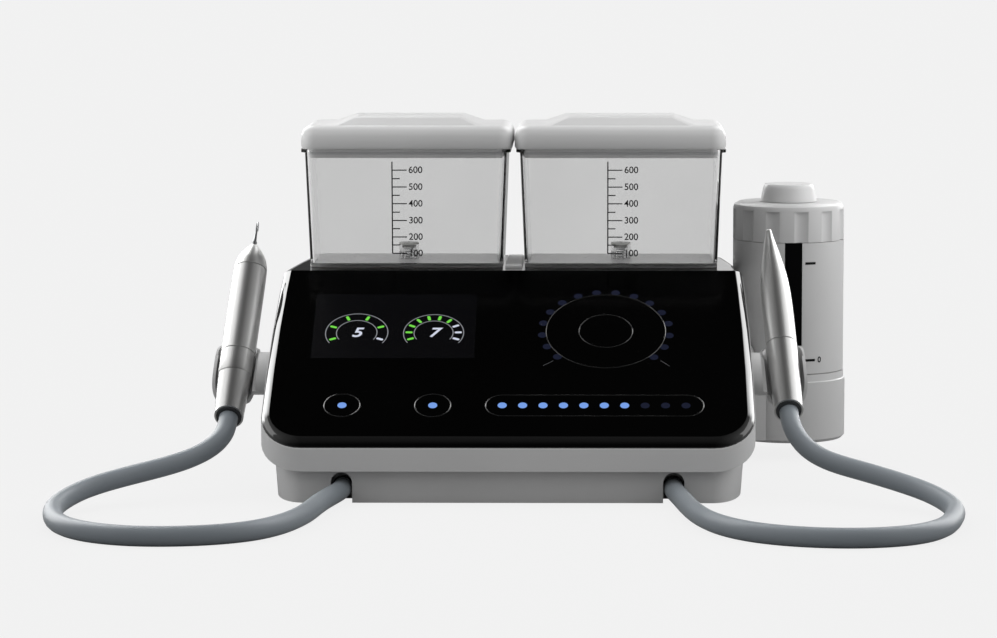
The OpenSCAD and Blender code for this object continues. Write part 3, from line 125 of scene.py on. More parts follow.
# ---- materials ----
def linear(colour):
    """Linear colour from an sRGB hex value."""
    parts = [int(colour[i:i + 2], 16) / 255 for i in (1, 3, 5)]
    return tuple(c / 12.92 if c <= 0.04045 else ((c + 0.055) / 1.055) ** 2.4
                 for c in parts) + (1.0,)


def add(tree, kind, inputs=None, **settings):
    """Adds a node: a socket among the inputs is linked, anything else is set."""
    node = tree.nodes.new(kind)
    for name, value in settings.items():
        setattr(node, name, value)
    for name, value in (inputs or {}).items():
        if isinstance(value, bpy.types.NodeSocket):
            tree.links.new(value, node.inputs[name])
        else:
            node.inputs[name].default_value = value
    return node


def blank(owner):
    """The emptied node tree of a material or a world."""
    owner.use_nodes = True
    owner.node_tree.nodes.clear()
    return owner.node_tree


def ramp(tree, value, start, end, low, high):
    """A value that goes from low at start to high at end, and stays level beyond."""
    return add(tree, "ShaderNodeMapRange", {
        "Value": value, "From Min": start, "From Max": end,
        "To Min": low, "To Max": high}).outputs["Result"]


def maths(tree, operation, *values):
    """The result of one sum, product or other operation on sockets and numbers."""
    return add(tree, "ShaderNodeMath", dict(enumerate(values)), operation=operation).outputs[0]


def mixed(tree, share, first, second):
    """Two shaders mixed, the share of the second given."""
    return add(tree, "ShaderNodeMixShader", {0: share, 1: first, 2: second}).outputs[0]


def surface(name, colours, roughness, grain, depth, spread=0.04, squeeze=(1, 1, 1), **sockets):
    """A finish whose colour drifts between two tones, with a moulded, sprayed or
    ground grain. grain is its size and depth its height, both in millimetres, and
    spread is how far the roughness strays either way."""
    material = bpy.data.materials.new(name)
    tree = blank(material)
    place = add(tree, "ShaderNodeTexCoord").outputs["Object"]
    drift = add(tree, "ShaderNodeTexNoise", {"Vector": place, "Scale": 9.0, "Detail": 3.0})
    tone = add(tree, "ShaderNodeValToRGB", {"Fac": drift.outputs["Fac"]})
    tone.color_ramp.elements[0].position = 0.35
    tone.color_ramp.elements[1].position = 0.65
    tone.color_ramp.elements[0].color = linear(colours[0])
    tone.color_ramp.elements[1].color = linear(colours[1])
    laid = add(tree, "ShaderNodeMapping", {"Vector": place, "Scale": squeeze})
    fine = add(tree, "ShaderNodeTexNoise",
               {"Vector": laid.outputs["Vector"], "Scale": 1000 / grain, "Detail": 2.0})
    rough = ramp(tree, fine.outputs["Fac"], 0.3, 0.7, roughness - spread, roughness + spread)
    bump = add(tree, "ShaderNodeBump",
               {"Height": fine.outputs["Fac"], "Strength": 1.0, "Distance": depth * MM})
    skin = add(tree, "ShaderNodeBsdfPrincipled",
               {"Base Color": tone.outputs["Color"], "Roughness": rough,
                "Normal": bump.outputs["Normal"]})
    for socket, value in sockets.items():
        skin.inputs[socket.replace("_", " ")].default_value = value
    add(tree, "ShaderNodeOutputMaterial", {"Surface": skin.outputs["BSDF"]})
    return material


def glowing(name, colour, strength):
    """Light that shows through the black glass, a little uneven as a lit film is."""
    material = bpy.data.materials.new(name)
    tree = blank(material)
    place = add(tree, "ShaderNodeTexCoord").outputs["Object"]
    film = add(tree, "ShaderNodeTexNoise", {"Vector": place, "Scale": 700.0})
    tone = add(tree, "ShaderNodeMix", {0: film.outputs["Fac"]}, data_type="RGBA")
    tone.inputs[6].default_value = linear(colour)
    tone.inputs[7].default_value = tuple(c * 0.9 for c in linear(colour)[:3]) + (1.0,)
    skin = add(tree, "ShaderNodeBsdfPrincipled",
               {"Base Color": linear("#050506"), "Roughness": 0.25, "Specular IOR Level": 0.05,
                "Emission Color": tone.outputs[2], "Emission Strength": strength})
    add(tree, "ShaderNodeOutputMaterial", {"Surface": skin.outputs["BSDF"]})
    return material


# Moulded PC/ABS with a pale grey satin coat: soft sheen, a barely seen orange peel.
housing = surface("satin_coated_abs", ("#C4C4C4", "#C9C9C9"), 0.4, 0.9, 0.01)
# The same coat on the removable parts, a shade lighter.
lid_coat = surface("satin_lid_abs", ("#D2D2D2", "#D7D7D7"), 0.42, 0.9, 0.01)
# Back-printed black glass with an anti-glare face: deep black, next to no reflection.
black_glass = surface("anti_glare_black_glass", ("#010101", "#020202"), 0.12, 6.0, 0.0004,
                      0.02, IOR=1.5, Specular_IOR_Level=0.05)
# The rolled rim of the glass and the deck, lacquered black: a mirror for bright edges.
black_gloss = surface("black_piano_lacquer", ("#020202", "#030303"), 0.05, 5.0, 0.0004,
                      0.01, IOR=2.0)
# Clear moulded polycarbonate: sees through, bright rims, slight grey tint.
clear = surface("clear_polycarbonate", ("#E4E4E4", "#E8E8E8"), 0.03, 8.0, 0.0003, 0.01,
                Transmission_Weight=1.0, IOR=1.3)
# The thick floor of a tank, where the clear plastic goes milky.
milky = surface("milky_polycarbonate", ("#DADADA", "#E0E0E0"), 0.3, 3.0, 0.002, 0.03)
# Fine satin-ground stainless steel: long soft highlight, faint turning lines.
steel = surface("satin_stainless_steel", ("#C0C0BF", "#C7C7C6"), 0.36, 0.6, 0.0004, 0.03,
                (1, 1, 4), Metallic=1.0)
# Polished steel of the insert and valve parts.
bright_steel = surface("polished_stainless_steel", ("#BFC0C1", "#CACBCC"), 0.16, 1.0, 0.001,
                       0.04, Metallic=1.0)
# Hardened steel of the scaler's insert: ground grey, a little darker than the shells.
tip_steel = surface("ground_insert_steel", ("#8C8D8E", "#979899"), 0.32, 1.0, 0.001, 0.04,
                    Metallic=1.0)
# Pressed and folded sheet, zinc plated: dull, with large spangles.
sheet_metal = surface("zinc_plated_sheet", ("#9A9D9F", "#AAADAF"), 0.38, 4.0, 0.01, 0.08,
                      Metallic=1.0)
# Plated screw heads.
screw_metal = surface("nickel_plated_screw", ("#A7A9AA", "#B8BABB"), 0.25, 1.0, 0.002, 0.06,
                      Metallic=1.0)
# Silicone hose: soft grey-blue, matt with a silky edge.
silicone = surface("grey_silicone_hose", ("#747B81", "#7C8389"), 0.5, 0.8, 0.01, 0.05,
                   Sheen_Weight=0.12, Sheen_Roughness=0.4)
# Pale translucent silicone of the lid seals.
pale_silicone = surface("pale_moulded_silicone", ("#B9BABB", "#C1C2C3"), 0.5, 0.6, 0.01, 0.05)
# Dark soft ring of the couplers, gland and seals.
dark_rubber = surface("dark_moulded_rubber", ("#2E3032", "#383A3C"), 0.6, 0.6, 0.02, 0.05)
# Grey rubber of the anti-slip pads.
pad_rubber = surface("grey_pad_rubber", ("#4A4C4E", "#545658"), 0.72, 0.5, 0.03, 0.05)
# Dark glass-filled nylon of the rear sockets and the switch.
dark_nylon = surface("dark_moulded_nylon", ("#1B1C1E", "#232427"), 0.48, 0.6, 0.02, 0.06)
# Natural acetal of the small valve parts.
acetal = surface("natural_acetal", ("#D6D6D3", "#DEDEDB"), 0.4, 0.8, 0.008, 0.05)
# Smoked acrylic of the sight window.
smoked = surface("smoked_acrylic", ("#020203", "#040405"), 0.1, 5.0, 0.001, 0.02,
                 Specular_IOR_Level=0.05)
# Green solder mask over the boards.
solder_mask = surface("green_solder_mask", ("#14492E", "#1B5838"), 0.3, 2.0, 0.02, 0.08)
# Dark panel of the display module.
display_glass = surface("display_glass", ("#08090C", "#0A0B0E"), 0.12, 5.0, 0.001, 0.02)
# Printed marks: flat dark ink on the tanks and the canister.
ink = surface("dark_printing_ink", ("#0E0F10", "#151617"), 0.6, 0.4, 0.004,
              Specular_IOR_Level=0.2)
# Fine grey print on the glass.
grey_ink = surface("grey_printing_ink", ("#3A3B3D", "#424346"), 0.4, 0.4, 0.004)
# Lamps and display marks behind the glass, and a painted glow on the unlit lamp windows.
lit_blue = glowing("lit_blue_lamp", "#7AA3EC", 1.0)
# painted glow: the unlit lamp windows give off a faint dark blue light, though they are not lit
unlit_blue_painted_glow = glowing("unlit_lamp_window_painted_glow", "#1C2033", 0.8)
lit_green = glowing("lit_green_display_bar", "#76E04E", 1.0)
lit_white = glowing("lit_white_display_line", "#D9DEEE", 0.95)
dim_white = glowing("dim_white_display_line", "#9DA0A6", 0.8)
screen_black = glowing("dark_display_film", "#020203", 1.0)


# ---- making pieces ----
def finish(bm, name, material, body, replaced=(), smooth=35, place=None, sharp=()):
    """Turns a bmesh into a piece on a body, in one material: curves smooth, edges over
    the angle sharp, and so are the edges whose numbers are listed."""
    if place is not None:
        bmesh.ops.transform(bm, matrix=place, verts=bm.verts)
    for face in bm.faces:
        face.smooth = True
    for edge in bm.edges:
        edge.smooth = edge.calc_face_angle(0) < math.radians(smooth)
    bm.edges.ensure_lookup_table()
    for index in sharp:
        bm.edges[index].smooth = False
    mesh = bpy.data.meshes.new(name)
    bm.to_mesh(mesh)
    bm.free()
    obj = placed(name, mesh)
    mesh.materials.append(material)
    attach(obj, body)
    if replaced:
        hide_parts(*replaced)
    return obj


def carried(node, name, material, smooth=32, flats=()):
    """A merged, smoothly shaded copy that stands for a CAD node. A flat is a normal
    whose face keeps a crisp border, so that its reflections stay level."""
    bm = bmesh.new()
    bm.from_mesh(nodes[node].data)
    bmesh.ops.remove_doubles(bm, verts=bm.verts, dist=0.005 * MM)
    bmesh.ops.dissolve_degenerate(bm, edges=bm.edges, dist=0.001 * MM)
    bm.normal_update()
    level = [any((face.normal - Vector(n)).length < 0.01 for n in flats) for face in bm.faces]
    bm.faces.index_update()
    border = [edge.index for edge in bm.edges if len(edge.link_faces) == 2
              and level[edge.link_faces[0].index] != level[edge.link_faces[1].index]]
    return finish(bm, name, material, nodes[node]["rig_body"], [node], smooth=smooth,
                  sharp=border)


def spline(points, steps):
    """Points along the smooth curve that a row of control points draws, from the
    first to the last of them."""
    row = [2 * points[0] - points[1], *points, 2 * points[-1] - points[-2]]
    line = []
    for a, b, c, d in zip(row, row[1:], row[2:], row[3:]):
        for k in range(steps):
            t = k / steps
            line.append(((1 - t) ** 3 * a + (3 * t ** 3 - 6 * t * t + 4) * b
                         + (-3 * t ** 3 + 3 * t * t + 3 * t + 1) * c + t ** 3 * d) / 6)
    return line + [points[-1].copy()]


def mesh_of(name, curve):
    """The mesh that a line or a text draws."""
    drawn = placed(name, curve)
    mesh = bpy.data.meshes.new_from_object(drawn.evaluated_get(
        bpy.context.evaluated_depsgraph_get()))
    bpy.data.objects.remove(drawn)
    return mesh


def absorb(bm, part):
    """Moves everything in one bmesh into another."""
    scrap = bpy.data.meshes.new("scrap")
    part.to_mesh(scrap)
    part.free()
    bm.from_mesh(scrap)
    bpy.data.meshes.remove(scrap)


def bead(name, points, radius, material, body, closed=False, flat=1.0, place=None, sides=4,
         replaced=()):
    """A round line drawn through points, pressed flat where flat is under 1."""
    curve = bpy.data.curves.new(name, "CURVE")
    curve.dimensions = "3D"
    curve.bevel_depth = radius
    curve.bevel_resolution = sides
    curve.use_fill_caps = True
    line = curve.splines.new("POLY")
    line.points.add(len(points) - 1)
    for point, co in zip(line.points, points):
        point.co = (*co, 1)
    line.use_cyclic_u = closed
    mesh = mesh_of(name + "_line", curve)
    bm = bmesh.new()
    bm.from_mesh(mesh)
    bpy.data.meshes.remove(mesh)
    bmesh.ops.remove_doubles(bm, verts=bm.verts, dist=0.002 * MM)
    bmesh.ops.scale(bm, vec=(1, 1, flat), verts=bm.verts)
    return finish(bm, name, material, body, replaced, smooth=50, place=place)


def arc(radius, start, end, x=0.0, y=0.0, steps=48):
    """Points on a level arc, angles in degrees, sizes in millimetres."""
    turns = [math.radians(start + (end - start) * k / steps) for k in range(steps + 1)]
    return [mm(x + radius * math.cos(a), y + radius * math.sin(a), 0) for a in turns]


def at(x, y, z=0.0, turn=0.0):
    """A place in millimetres, turned about Z by degrees."""
    return Matrix.Translation(mm(x, y, z)) @ Matrix.Rotation(math.radians(turn), 4, "Z")


def flat_marks(name, marks, material, body, place, lift=0.03):
    """Thin printed or lit marks; each is width, height, corner radius, x, y, turn."""
    bm = bmesh.new()
    for width, height, radius, x, y, turn in marks:
        part = bmesh.new()
        bmesh.ops.create_grid(part, x_segments=1, y_segments=1, size=0.5 * MM)
        bmesh.ops.scale(part, vec=(width, height, 1), verts=part.verts)
        if radius:
            bmesh.ops.bevel(part, geom=part.verts[:], offset=radius * MM, segments=6,
                            profile=0.5, affect="VERTICES", material=-1)
        bmesh.ops.transform(part, matrix=at(x, y, 0, turn), verts=part.verts)
        thin = bmesh.ops.extrude_face_region(part, geom=part.faces[:])["geom"]
        bmesh.ops.translate(part, vec=(0, 0, lift * MM),
                            verts=[item for item in thin if isinstance(item, bmesh.types.BMVert)])
        bmesh.ops.recalc_face_normals(part, faces=part.faces)
        absorb(bm, part)
    return finish(bm, name, material, body, place=place)


DIGIT_SHARE = 0.72  # the height of a digit as a share of the font's size
MARK_HALF = 0.02  # half the thickness of a figure


def figures(name, numbers, height, material, body, place, slant=0.0, weight=0.0):
    """Plain numbers as thin marks, each a text with its (x, y); all sizes in mm."""
    bm = bmesh.new()
    for text, (x, y) in numbers:
        curve = bpy.data.curves.new(name, "FONT")
        curve.body = text
        curve.size = height * MM / DIGIT_SHARE
        curve.align_x = "CENTER"
        curve.align_y = "CENTER"
        curve.shear = slant
        curve.offset = weight * MM
        curve.extrude = MARK_HALF * MM
        mesh = mesh_of(name + "_text", curve)
        mesh.transform(at(x, y, MARK_HALF))
        bm.from_mesh(mesh)
        bpy.data.meshes.remove(mesh)
    return finish(bm, name, material, body, place=place)


def spun(profile, steps):
    """A closed profile, pairs of radius and height in millimetres, spun round Z."""
    bm = bmesh.new()
    row = [bm.verts.new(mm(r, 0, t)) for r, t in profile]
    edges = [bm.edges.new(pair) for pair in zip(row, row[1:])]
    bmesh.ops.spin(bm, geom=row + edges, cent=(0, 0, 0), axis=(0, 0, 1),
                   angle=math.tau, steps=steps, use_merge=True)
    bmesh.ops.remove_doubles(bm, verts=bm.verts, dist=0.001 * MM)
    bmesh.ops.recalc_face_normals(bm, faces=bm.faces)
    return bm


def turned(name, profile, material, body, replaced=(), place=None, steps=72, smooth=30):
    """A turned piece on the axis of its place."""
    return finish(spun(profile, steps), name, material, body, replaced, smooth=smooth,
                  place=place)


# ---- hoses: the routes of the CAD, in millimetres ----
SCALER_REAR, POLISHER_REAR = -32.3, -27.3  # where each coupler ends on its cradle's axis
END_SLANT = math.radians(16)  # the end of a coupler is cut at this angle
END_NORMAL = Vector((0, -math.sin(END_SLANT), -math.cos(END_SLANT)))
HOSE_RADIUS = 6
HOSE_GAP = 0.9  # between a hose and the coupler round it
HOSE_STRAIGHT = 14  # length of the straight run at each end of a hose
HOSE_X, HOSE_Y, HOSE_Z = 101.5, -111.5, 8.2  # where a hose leaves the housing
LEFT_ROUTE = [
    (-107, -140, 7), (-113, -163, 6.1), (-116, -193, 6.1), (-124, -228, 6.1),
    (-142, -262, 6.1), (-178, -278, 6.1), (-217, -277, 6.1), (-246, -257, 6.1),
    (-261, -229, 6.1), (-267, -199, 6.1), (-270, -170, 6.3), (-257, -143, 12),
    (-233, -126, 16.8), (-210, -115, 21), (-193, -102, 25), (-182, -89, 30.5)]
RIGHT_ROUTE = [
    (106, -144, 6.4), (109, -169, 6.1), (114, -199, 6.1), (123, -232, 6.1),
    (143, -262, 6.1), (174, -278, 6.1), (208, -281, 6.1), (239, -269, 6.1),
    (257, -242, 6.1), (264, -211, 6.1), (269, -180, 6.5), (257, -151, 11),
    (236, -131, 15.5), (214, -115, 19.8), (195, -101, 23), (182, -86, 30)]


def hose(side, route, rear, name, node):
    """A soft hose from the notch in the housing to the rear of a handpiece."""
    out = cradle(side).to_3x3() @ END_NORMAL
    end = cradle(side) @ mm(0, 0, rear) + HOSE_GAP * MM * out
    start = mm(side * HOSE_X, HOSE_Y, HOSE_Z)
    points = [start, start + mm(0, -HOSE_STRAIGHT, 0), *[mm(*p) for p in route],
              end + HOSE_STRAIGHT * MM * out, end]
    line = spline(points, 7)
    tube = bead(name, line, HOSE_RADIUS * MM, silicone, "base", sides=8, replaced=[node])
    tube.parent = None
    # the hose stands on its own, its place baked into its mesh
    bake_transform(tube)


hose(-1, LEFT_ROUTE, SCALER_REAR, "left_hose_tube", "left_hose")
hose(1, RIGHT_ROUTE, POLISHER_REAR, "right_hose_tube", "right_hose")

# ---- CAD nodes shown as they are, in their own materials ----
for node, material in {
        "bottom_cover": housing, "rubber_feet": pad_rubber, "bottom_screws": screw_metal,
        "display_module": display_glass, "touch_board": solder_mask,
        "control_board": solder_mask, "power_supply": sheet_metal,
        "left_water_pump": sheet_metal, "right_water_pump": sheet_metal,
        "air_valve_block": sheet_metal, "air_regulator": sheet_metal,
        "left_tank_port": housing, "right_tank_port": housing,
        "canister_port": bright_steel,
        "left_lid_seal": pale_silicone, "right_lid_seal": pale_silicone,
        "cap_seal": dark_rubber, "side_screws": screw_metal,
        "scaler_transducer": bright_steel, "polisher_tube": bright_steel,
        "powder_tube": bright_steel}.items():
    for spot in nodes[node].material_slots:
        spot.material = material

# ---- CAD nodes shown as merged copies, shaded smoothly ----
for node, material in {
        "lower_housing": housing, "upper_housing": housing, "deck_divider": housing,
        "power_inlet": dark_nylon, "switch_frame": dark_nylon, "power_switch": dark_nylon,
        "air_inlet": bright_steel, "pedal_socket": bright_steel,
        "left_hose_gland": dark_rubber, "right_hose_gland": dark_rubber,
        "left_holder": housing, "right_holder": housing, "canister_dock": housing,
        "left_tank_lid": lid_coat, "right_tank_lid": lid_coat,
        "left_valve_plunger": bright_steel, "right_valve_plunger": bright_steel,
        "left_valve_retainer": acetal, "right_valve_retainer": acetal,
        "canister_body": housing, "sight_window": smoked,
        "canister_cap": housing, "cap_knob": lid_coat,
        "scaler_collar": dark_rubber, "scaler_tip": tip_steel,
        "polisher_collar": dark_rubber}.items():
    carried(node, node + "_finished", material)

# each valve's spring stands on its own, its place baked into its mesh
for side in ("left", "right"):
    spring = carried(side + "_valve_spring", side + "_valve_spring_finished", bright_steel)
    spring.parent = None
    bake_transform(spring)

up = Vector((0, 0, 1))
glass_face = Vector((0, -math.sin(SLOPE), math.cos(SLOPE)))
panel = carried("front_panel", "front_panel_finished", black_gloss, 50, [glass_face])
panel.data.materials.append(black_glass)
for face in panel.data.polygons:
    if (face.normal - glass_face).length < 0.01:
        face.material_index = 1
carried("deck_cover", "deck_cover_finished", black_gloss, 50, [up])

# ---- tanks: clear walls on a milky floor ----
for side in ("left", "right"):
    tank = carried(side + "_tank", side + "_tank_finished", clear)
    tank.data.materials.append(milky)
    for face in tank.data.polygons:
        low = min(tank.data.vertices[v].co.z for v in face.vertices)
        high = max(tank.data.vertices[v].co.z for v in face.vertices)
        if high < (TANK_Z + TANK_FLOOR) * MM and low > (TANK_Z - 0.1) * MM:
            face.material_index = 1


# ---- handpieces: turned profiles, pairs of radius and height in millimetres ----
def eased(points, steps=6):
    """A profile in millimetres with its control points joined by a smooth curve."""
    return [(p.x / MM, p.z / MM) for p in spline([mm(r, 0, t) for r, t in points], steps)]


def coupler(side, t0, t1, r, step, name, node, body):
    """A coupler from t0 to t1 on its cradle's axis, of radius r at the front: a slanted
    rear end with a socket for the collar, a cone, a small step, and the plug with two
    seal grooves that goes into the shell in front."""
    socket, rear, plug, groove, bore = 8.1, 9.2, 7, 6.1, 1.5
    foot, neck = t0 + 2, t1 - 16.5
    profile = [(socket, t0 + 5), (socket, t0 - 6), (rear, t0 - 6), (rear, foot)]
    profile += [(rear + (r - step - rear) * k / 8, foot + (neck - foot) * k / 8)
                for k in range(1, 9)]
    profile += [(r - step * 0.4, neck + 0.4), (r, neck + 0.9), (r, t1 - 8),
                (r, t1 - 0.25), (r - 0.25, t1), (plug, t1)]
    for t in (t1 + 3, t1 + 8):
        profile += [(plug, t), (groove, t), (groove, t + 2), (plug, t + 2)]
    profile += [(plug, t1 + 13), (plug - 1, t1 + 14), (bore, t1 + 14), (bore, t0 + 5),
                (socket, t0 + 5)]
    bm = spun(profile, 72)
    # the slanted end, a straight cut through the whole coupler, closed by a ring
    bmesh.ops.bisect_plane(bm, geom=bm.verts[:] + bm.edges[:] + bm.faces[:],
                           plane_co=mm(0, 0, t0), plane_no=END_NORMAL, clear_outer=True)
    bmesh.ops.bridge_loops(bm, edges=[edge for edge in bm.edges if edge.is_boundary])
    bmesh.ops.recalc_face_normals(bm, faces=bm.faces)
    finish(bm, name, steel, body, [node], smooth=28, place=cradle(side))


coupler(-1, SCALER_REAR, 14, 10.9, 0.4, "scaler_coupler_finished", "scaler_coupler", "scaler")
coupler(1, POLISHER_REAR, 21.8, 9.9, 0, "polisher_coupler_finished", "polisher_coupler",
        "polisher")
turned("scaler_sleeve_finished",
       [(7.3, 14.2), (10.65, 14.2), (10.9, 14.45), (10.9, 40), (10.88, 64.4), (10.82, 71.5),
        (10.7, 78.1), (10.45, 78.4), (8.6, 78.4), (8.6, 32.2), (7.3, 32.2), (7.3, 14.2)],
       steel, "scaler_front", ["scaler_sleeve"], cradle(-1))
nose = eased([(10.68, 78.85), (10.4, 81.5), (9.75, 85), (8.6, 88.3), (7.1, 91.4), (5.2, 94.3),
              (3.6, 96.4), (2.9, 97.3)])
turned("scaler_nose_finished",
       [(8.7, 78.6), (10.45, 78.6), *nose, (2.75, 97.75), (2.5, 98), (1.95, 98), (1.95, 92.6),
        (3.4, 91.8), (6.7, 85.4), (8.3, 80.6), (8.7, 78.6)],
       steel, "scaler_nose", ["scaler_nose"], cradle(-1))
spout = eased([(9.92, 30), (10, 39.8), (9.9, 55.8), (9.35, 66.5), (8.55, 74.5), (7.35, 82.5),
               (6.3, 87.9), (4.85, 95.9), (3.75, 101.2), (2.9, 104.8), (2.4, 107.6), (2.15, 109.4)])
turned("polisher_nozzle_finished",
       [(7.3, 22), (9.65, 22), (9.9, 22.25), *spout, (2, 110.1), (1.65, 110.65), (1.2, 110.95),
        (0.95, 111), (0.7, 110.8), (0.7, 104.8), (1.1, 104.8), (5.5, 66.5), (5.5, 38), (7.3, 38),
        (7.3, 22)],
       steel, "polisher_front", ["polisher_nozzle"], cradle(1))

# ---- marks on the glass panel, placed across it and up its slope in millimetres ----
DIAL = (60, 111.1)
LEFT_KEY, RIGHT_KEY = (-102.5, 35.9), (-46.6, 35.9)
LEVEL_X, LEVEL_Y, LEVEL_PITCH = -3.8, 36, 12.57
LEVELS, LEVELS_LIT = 10, 7
LEFT_GAUGE, RIGHT_GAUGE = (-97.4, 108.8), (-48.8, 108.8)
LAMP = (5.6, 5.6, 2.79)  # width, height and corner radius: a round lamp

flat_marks("display_film", [(102.6, 66.2, 0, -73.7, 116.1, 0)], screen_black, "base", PANEL, 0.02)

levels = [(*LAMP, LEVEL_X + LEVEL_PITCH * k, LEVEL_Y, 0) for k in range(LEVELS)]
unlit = []
for k in range(16):
    turn = math.radians(221.2 - 17.53 * k)
    unlit.append((*LAMP, DIAL[0] + 40.3 * math.cos(turn), DIAL[1] + 40.3 * math.sin(turn), 0))
# the unlit lamps carry a painted glow, a faint light though they are not lit
flat_marks("unlit_lamps_painted_glow", unlit + levels[LEVELS_LIT:], unlit_blue_painted_glow, "base", PANEL)
flat_marks("lit_lamps", levels[:LEVELS_LIT] + [(*LAMP, *LEFT_KEY, 0), (*LAMP, *RIGHT_KEY, 0)],
           lit_blue, "base", PANEL)

for name, points in {
        "dial_ring_outer": arc(37.7, 0, 360, *DIAL, 120)[:-1],
        "dial_ring_inner": arc(16.9, 0, 360, *DIAL, 72)[:-1],
        "left_key_ring": arc(11.1, 0, 360, *LEFT_KEY, 60)[:-1],
        "right_key_ring": arc(11.1, 0, 360, *RIGHT_KEY, 60)[:-1],
        "level_ring": (arc(10.2, 90, 270, LEVEL_X, LEVEL_Y, 30)
                       + arc(10.2, -90, 90, 110.1, LEVEL_Y, 30))}.items():
    bead(name, points, 0.32 * MM, black_gloss, "base", closed=True, flat=0.8, place=PANEL)

flat_marks("limit_lines", [(8, 0.5, 0, 24, 78, 38), (8, 0.5, 0, 97, 78, -46)], grey_ink,
           "base", PANEL)

# the two gauges: a pair of arcs each, and a row of bars between them
bars, spare = [], []
for (x, y), radius, count, on in ((LEFT_GAUGE, 19.7, 6, 5), (RIGHT_GAUGE, 19.0, 10, 7)):
    for ring, name in ((radius, "outer"), (radius * 0.65, "inner")):
        bead("gauge_%s_%d" % (name, count), arc(ring, -32, 212, x, y, 60), 0.28 * MM,
             dim_white, "base", flat=0.1, place=PANEL @ at(0, 0, 0.05))
    for k in range(count):
        turn = 203 - (203 + 23) * k / (count - 1)
        reach = radius * 0.82
        mark = (4.6, 1.9, 0.9, x + reach * math.cos(math.radians(turn)),
                y + reach * math.sin(math.radians(turn)), turn)
        (bars if k < on else spare).append(mark)
flat_marks("gauge_bars_on", bars, lit_green, "base", PANEL @ at(0, 0, 0.03), 0.03)
flat_marks("gauge_bars_off", spare, lit_white, "base", PANEL @ at(0, 0, 0.03), 0.03)
figures("gauge_figures", [("5", LEFT_GAUGE), ("7", RIGHT_GAUGE)], 9.5, lit_white, "base",
        PANEL @ at(0, 0, 0.04), slant=0.25, weight=0.25)

# ---- scales on the tanks: the height of each mark over the table ----
LEVEL_MARKS = ((600, 192.5), (500, 181.5), (400, 170.6), (300, 159.6), (200, 148.8),
               (100, 138.1))
LONG_MARK, SHORT_MARK, MARK_WIDTH = 9.5, 5, 0.7
for side, label, scale_x in ((-1, "left", -78.7), (1, "right", 61.3)):
    wall = tank_front(side) @ at(0, 0, 0.02)
    line_x = scale_x - side * TANK_X
    marks = [(0.8, 60, 0, line_x, 39.1, 0)]
    numbers = []
    for value, height in LEVEL_MARKS:
        up_wall = height - TANK_Z
        marks.append((LONG_MARK, MARK_WIDTH, 0, line_x + LONG_MARK / 2, up_wall, 0))
        if value < 600:
            marks.append((SHORT_MARK, MARK_WIDTH, 0, line_x + SHORT_MARK / 2, up_wall + 5.45, 0))
        numbers.append((str(value), (line_x + 15.2, up_wall)))
    flat_marks(label + "_tank_scale", marks, ink, label + "_tank", wall)
    figures(label + "_tank_figures", numbers, 4.4, ink, label + "_tank", wall, weight=0.07)


# ---- marks on the canister ----
CANISTER_RADIUS = 36.7
DASH_ANGLE, FIGURE_ANGLE = 17.9, 28.9  # degrees round the canister from its front
FULL_HEIGHT, EMPTY_HEIGHT = 130.2, 66.3


def wrapped(bm, angle, height):
    """Lays flat marks round the canister, at an angle from its front and a height."""
    for vert in bm.verts:
        turn = math.radians(angle - 90) + vert.co.x / (CANISTER_RADIUS * MM)
        reach = (CANISTER_RADIUS + 0.02) * MM + vert.co.z
        vert.co = (reach * math.cos(turn), reach * math.sin(turn), height * MM + vert.co.y)


dashes = bmesh.new()
for height in (FULL_HEIGHT, EMPTY_HEIGHT):
    dash = bmesh.new()
    bmesh.ops.create_grid(dash, x_segments=6, y_segments=1, size=0.5 * MM)
    bmesh.ops.scale(dash, vec=(7.4, 1.6, 1), verts=dash.verts)
    wrapped(dash, DASH_ANGLE, height)
    bmesh.ops.solidify(dash, geom=dash.faces[:], thickness=-0.03 * MM)
    bmesh.ops.recalc_face_normals(dash, faces=dash.faces)
    absorb(dashes, dash)
finish(dashes, "canister_marks", ink, "canister", place=CANISTER)
figures("canister_figure", [("0", (0, 0))], 3.8, ink, "canister",
        CANISTER @ Matrix.Rotation(math.radians(FIGURE_ANGLE), 4, "Z")
        @ Matrix.Translation(mm(0, -CANISTER_RADIUS - 0.04, EMPTY_HEIGHT))
        @ Matrix.Rotation(math.radians(90), 4, "X"), weight=0.14)


# ---- floor and light ----
def seen_plainly(tree):
    """1 for what the camera sees, straight or through the clear tanks, otherwise 0."""
    path = add(tree, "ShaderNodeLightPath")
    return maths(tree, "MAXIMUM", path.outputs["Is Camera Ray"],
                 path.outputs["Is Transmission Ray"])


def pale_floor():
    """A wide floor as pale as the backdrop, which keeps only a faint shadow."""
    bm = bmesh.new()
    bmesh.ops.create_grid(bm, x_segments=1, y_segments=1, size=60)
    mesh = bpy.data.meshes.new("floor")
    bm.to_mesh(mesh)
    bm.free()
    floor = placed("floor", mesh)
    material = bpy.data.materials.new("pale_floor")
    tree = blank(material)
    share = maths(tree, "MULTIPLY", seen_plainly(tree), 0.87)
    lit = add(tree, "ShaderNodeBsdfDiffuse", {"Color": linear("#A0A0A0")})
    glow = add(tree, "ShaderNodeEmission", {"Color": linear("#FBFBFB"), "Strength": 1.0})
    add(tree, "ShaderNodeOutputMaterial",
        {"Surface": mixed(tree, share, lit.outputs[0], glow.outputs[0])})
    mesh.materials.append(material)


def soft_light(tree, x, y, z, side):
    """The plain light that falls on the unit: a dome, strongest above and dimmer in
    front, with a bright flank on either side."""
    dome = ramp(tree, z, 0.0, 0.9, 0.1, 1.0)
    flanks = maths(tree, "MULTIPLY", ramp(tree, side, 0.5, 0.9, 0.0, 1.4),
                   ramp(tree, z, 0.05, 0.4, 0.25, 1.0))
    dim = ramp(tree, y, -0.9, -0.2, 0.62, 1.0)
    return maths(tree, "MULTIPLY", maths(tree, "ADD", dome, flanks), dim)


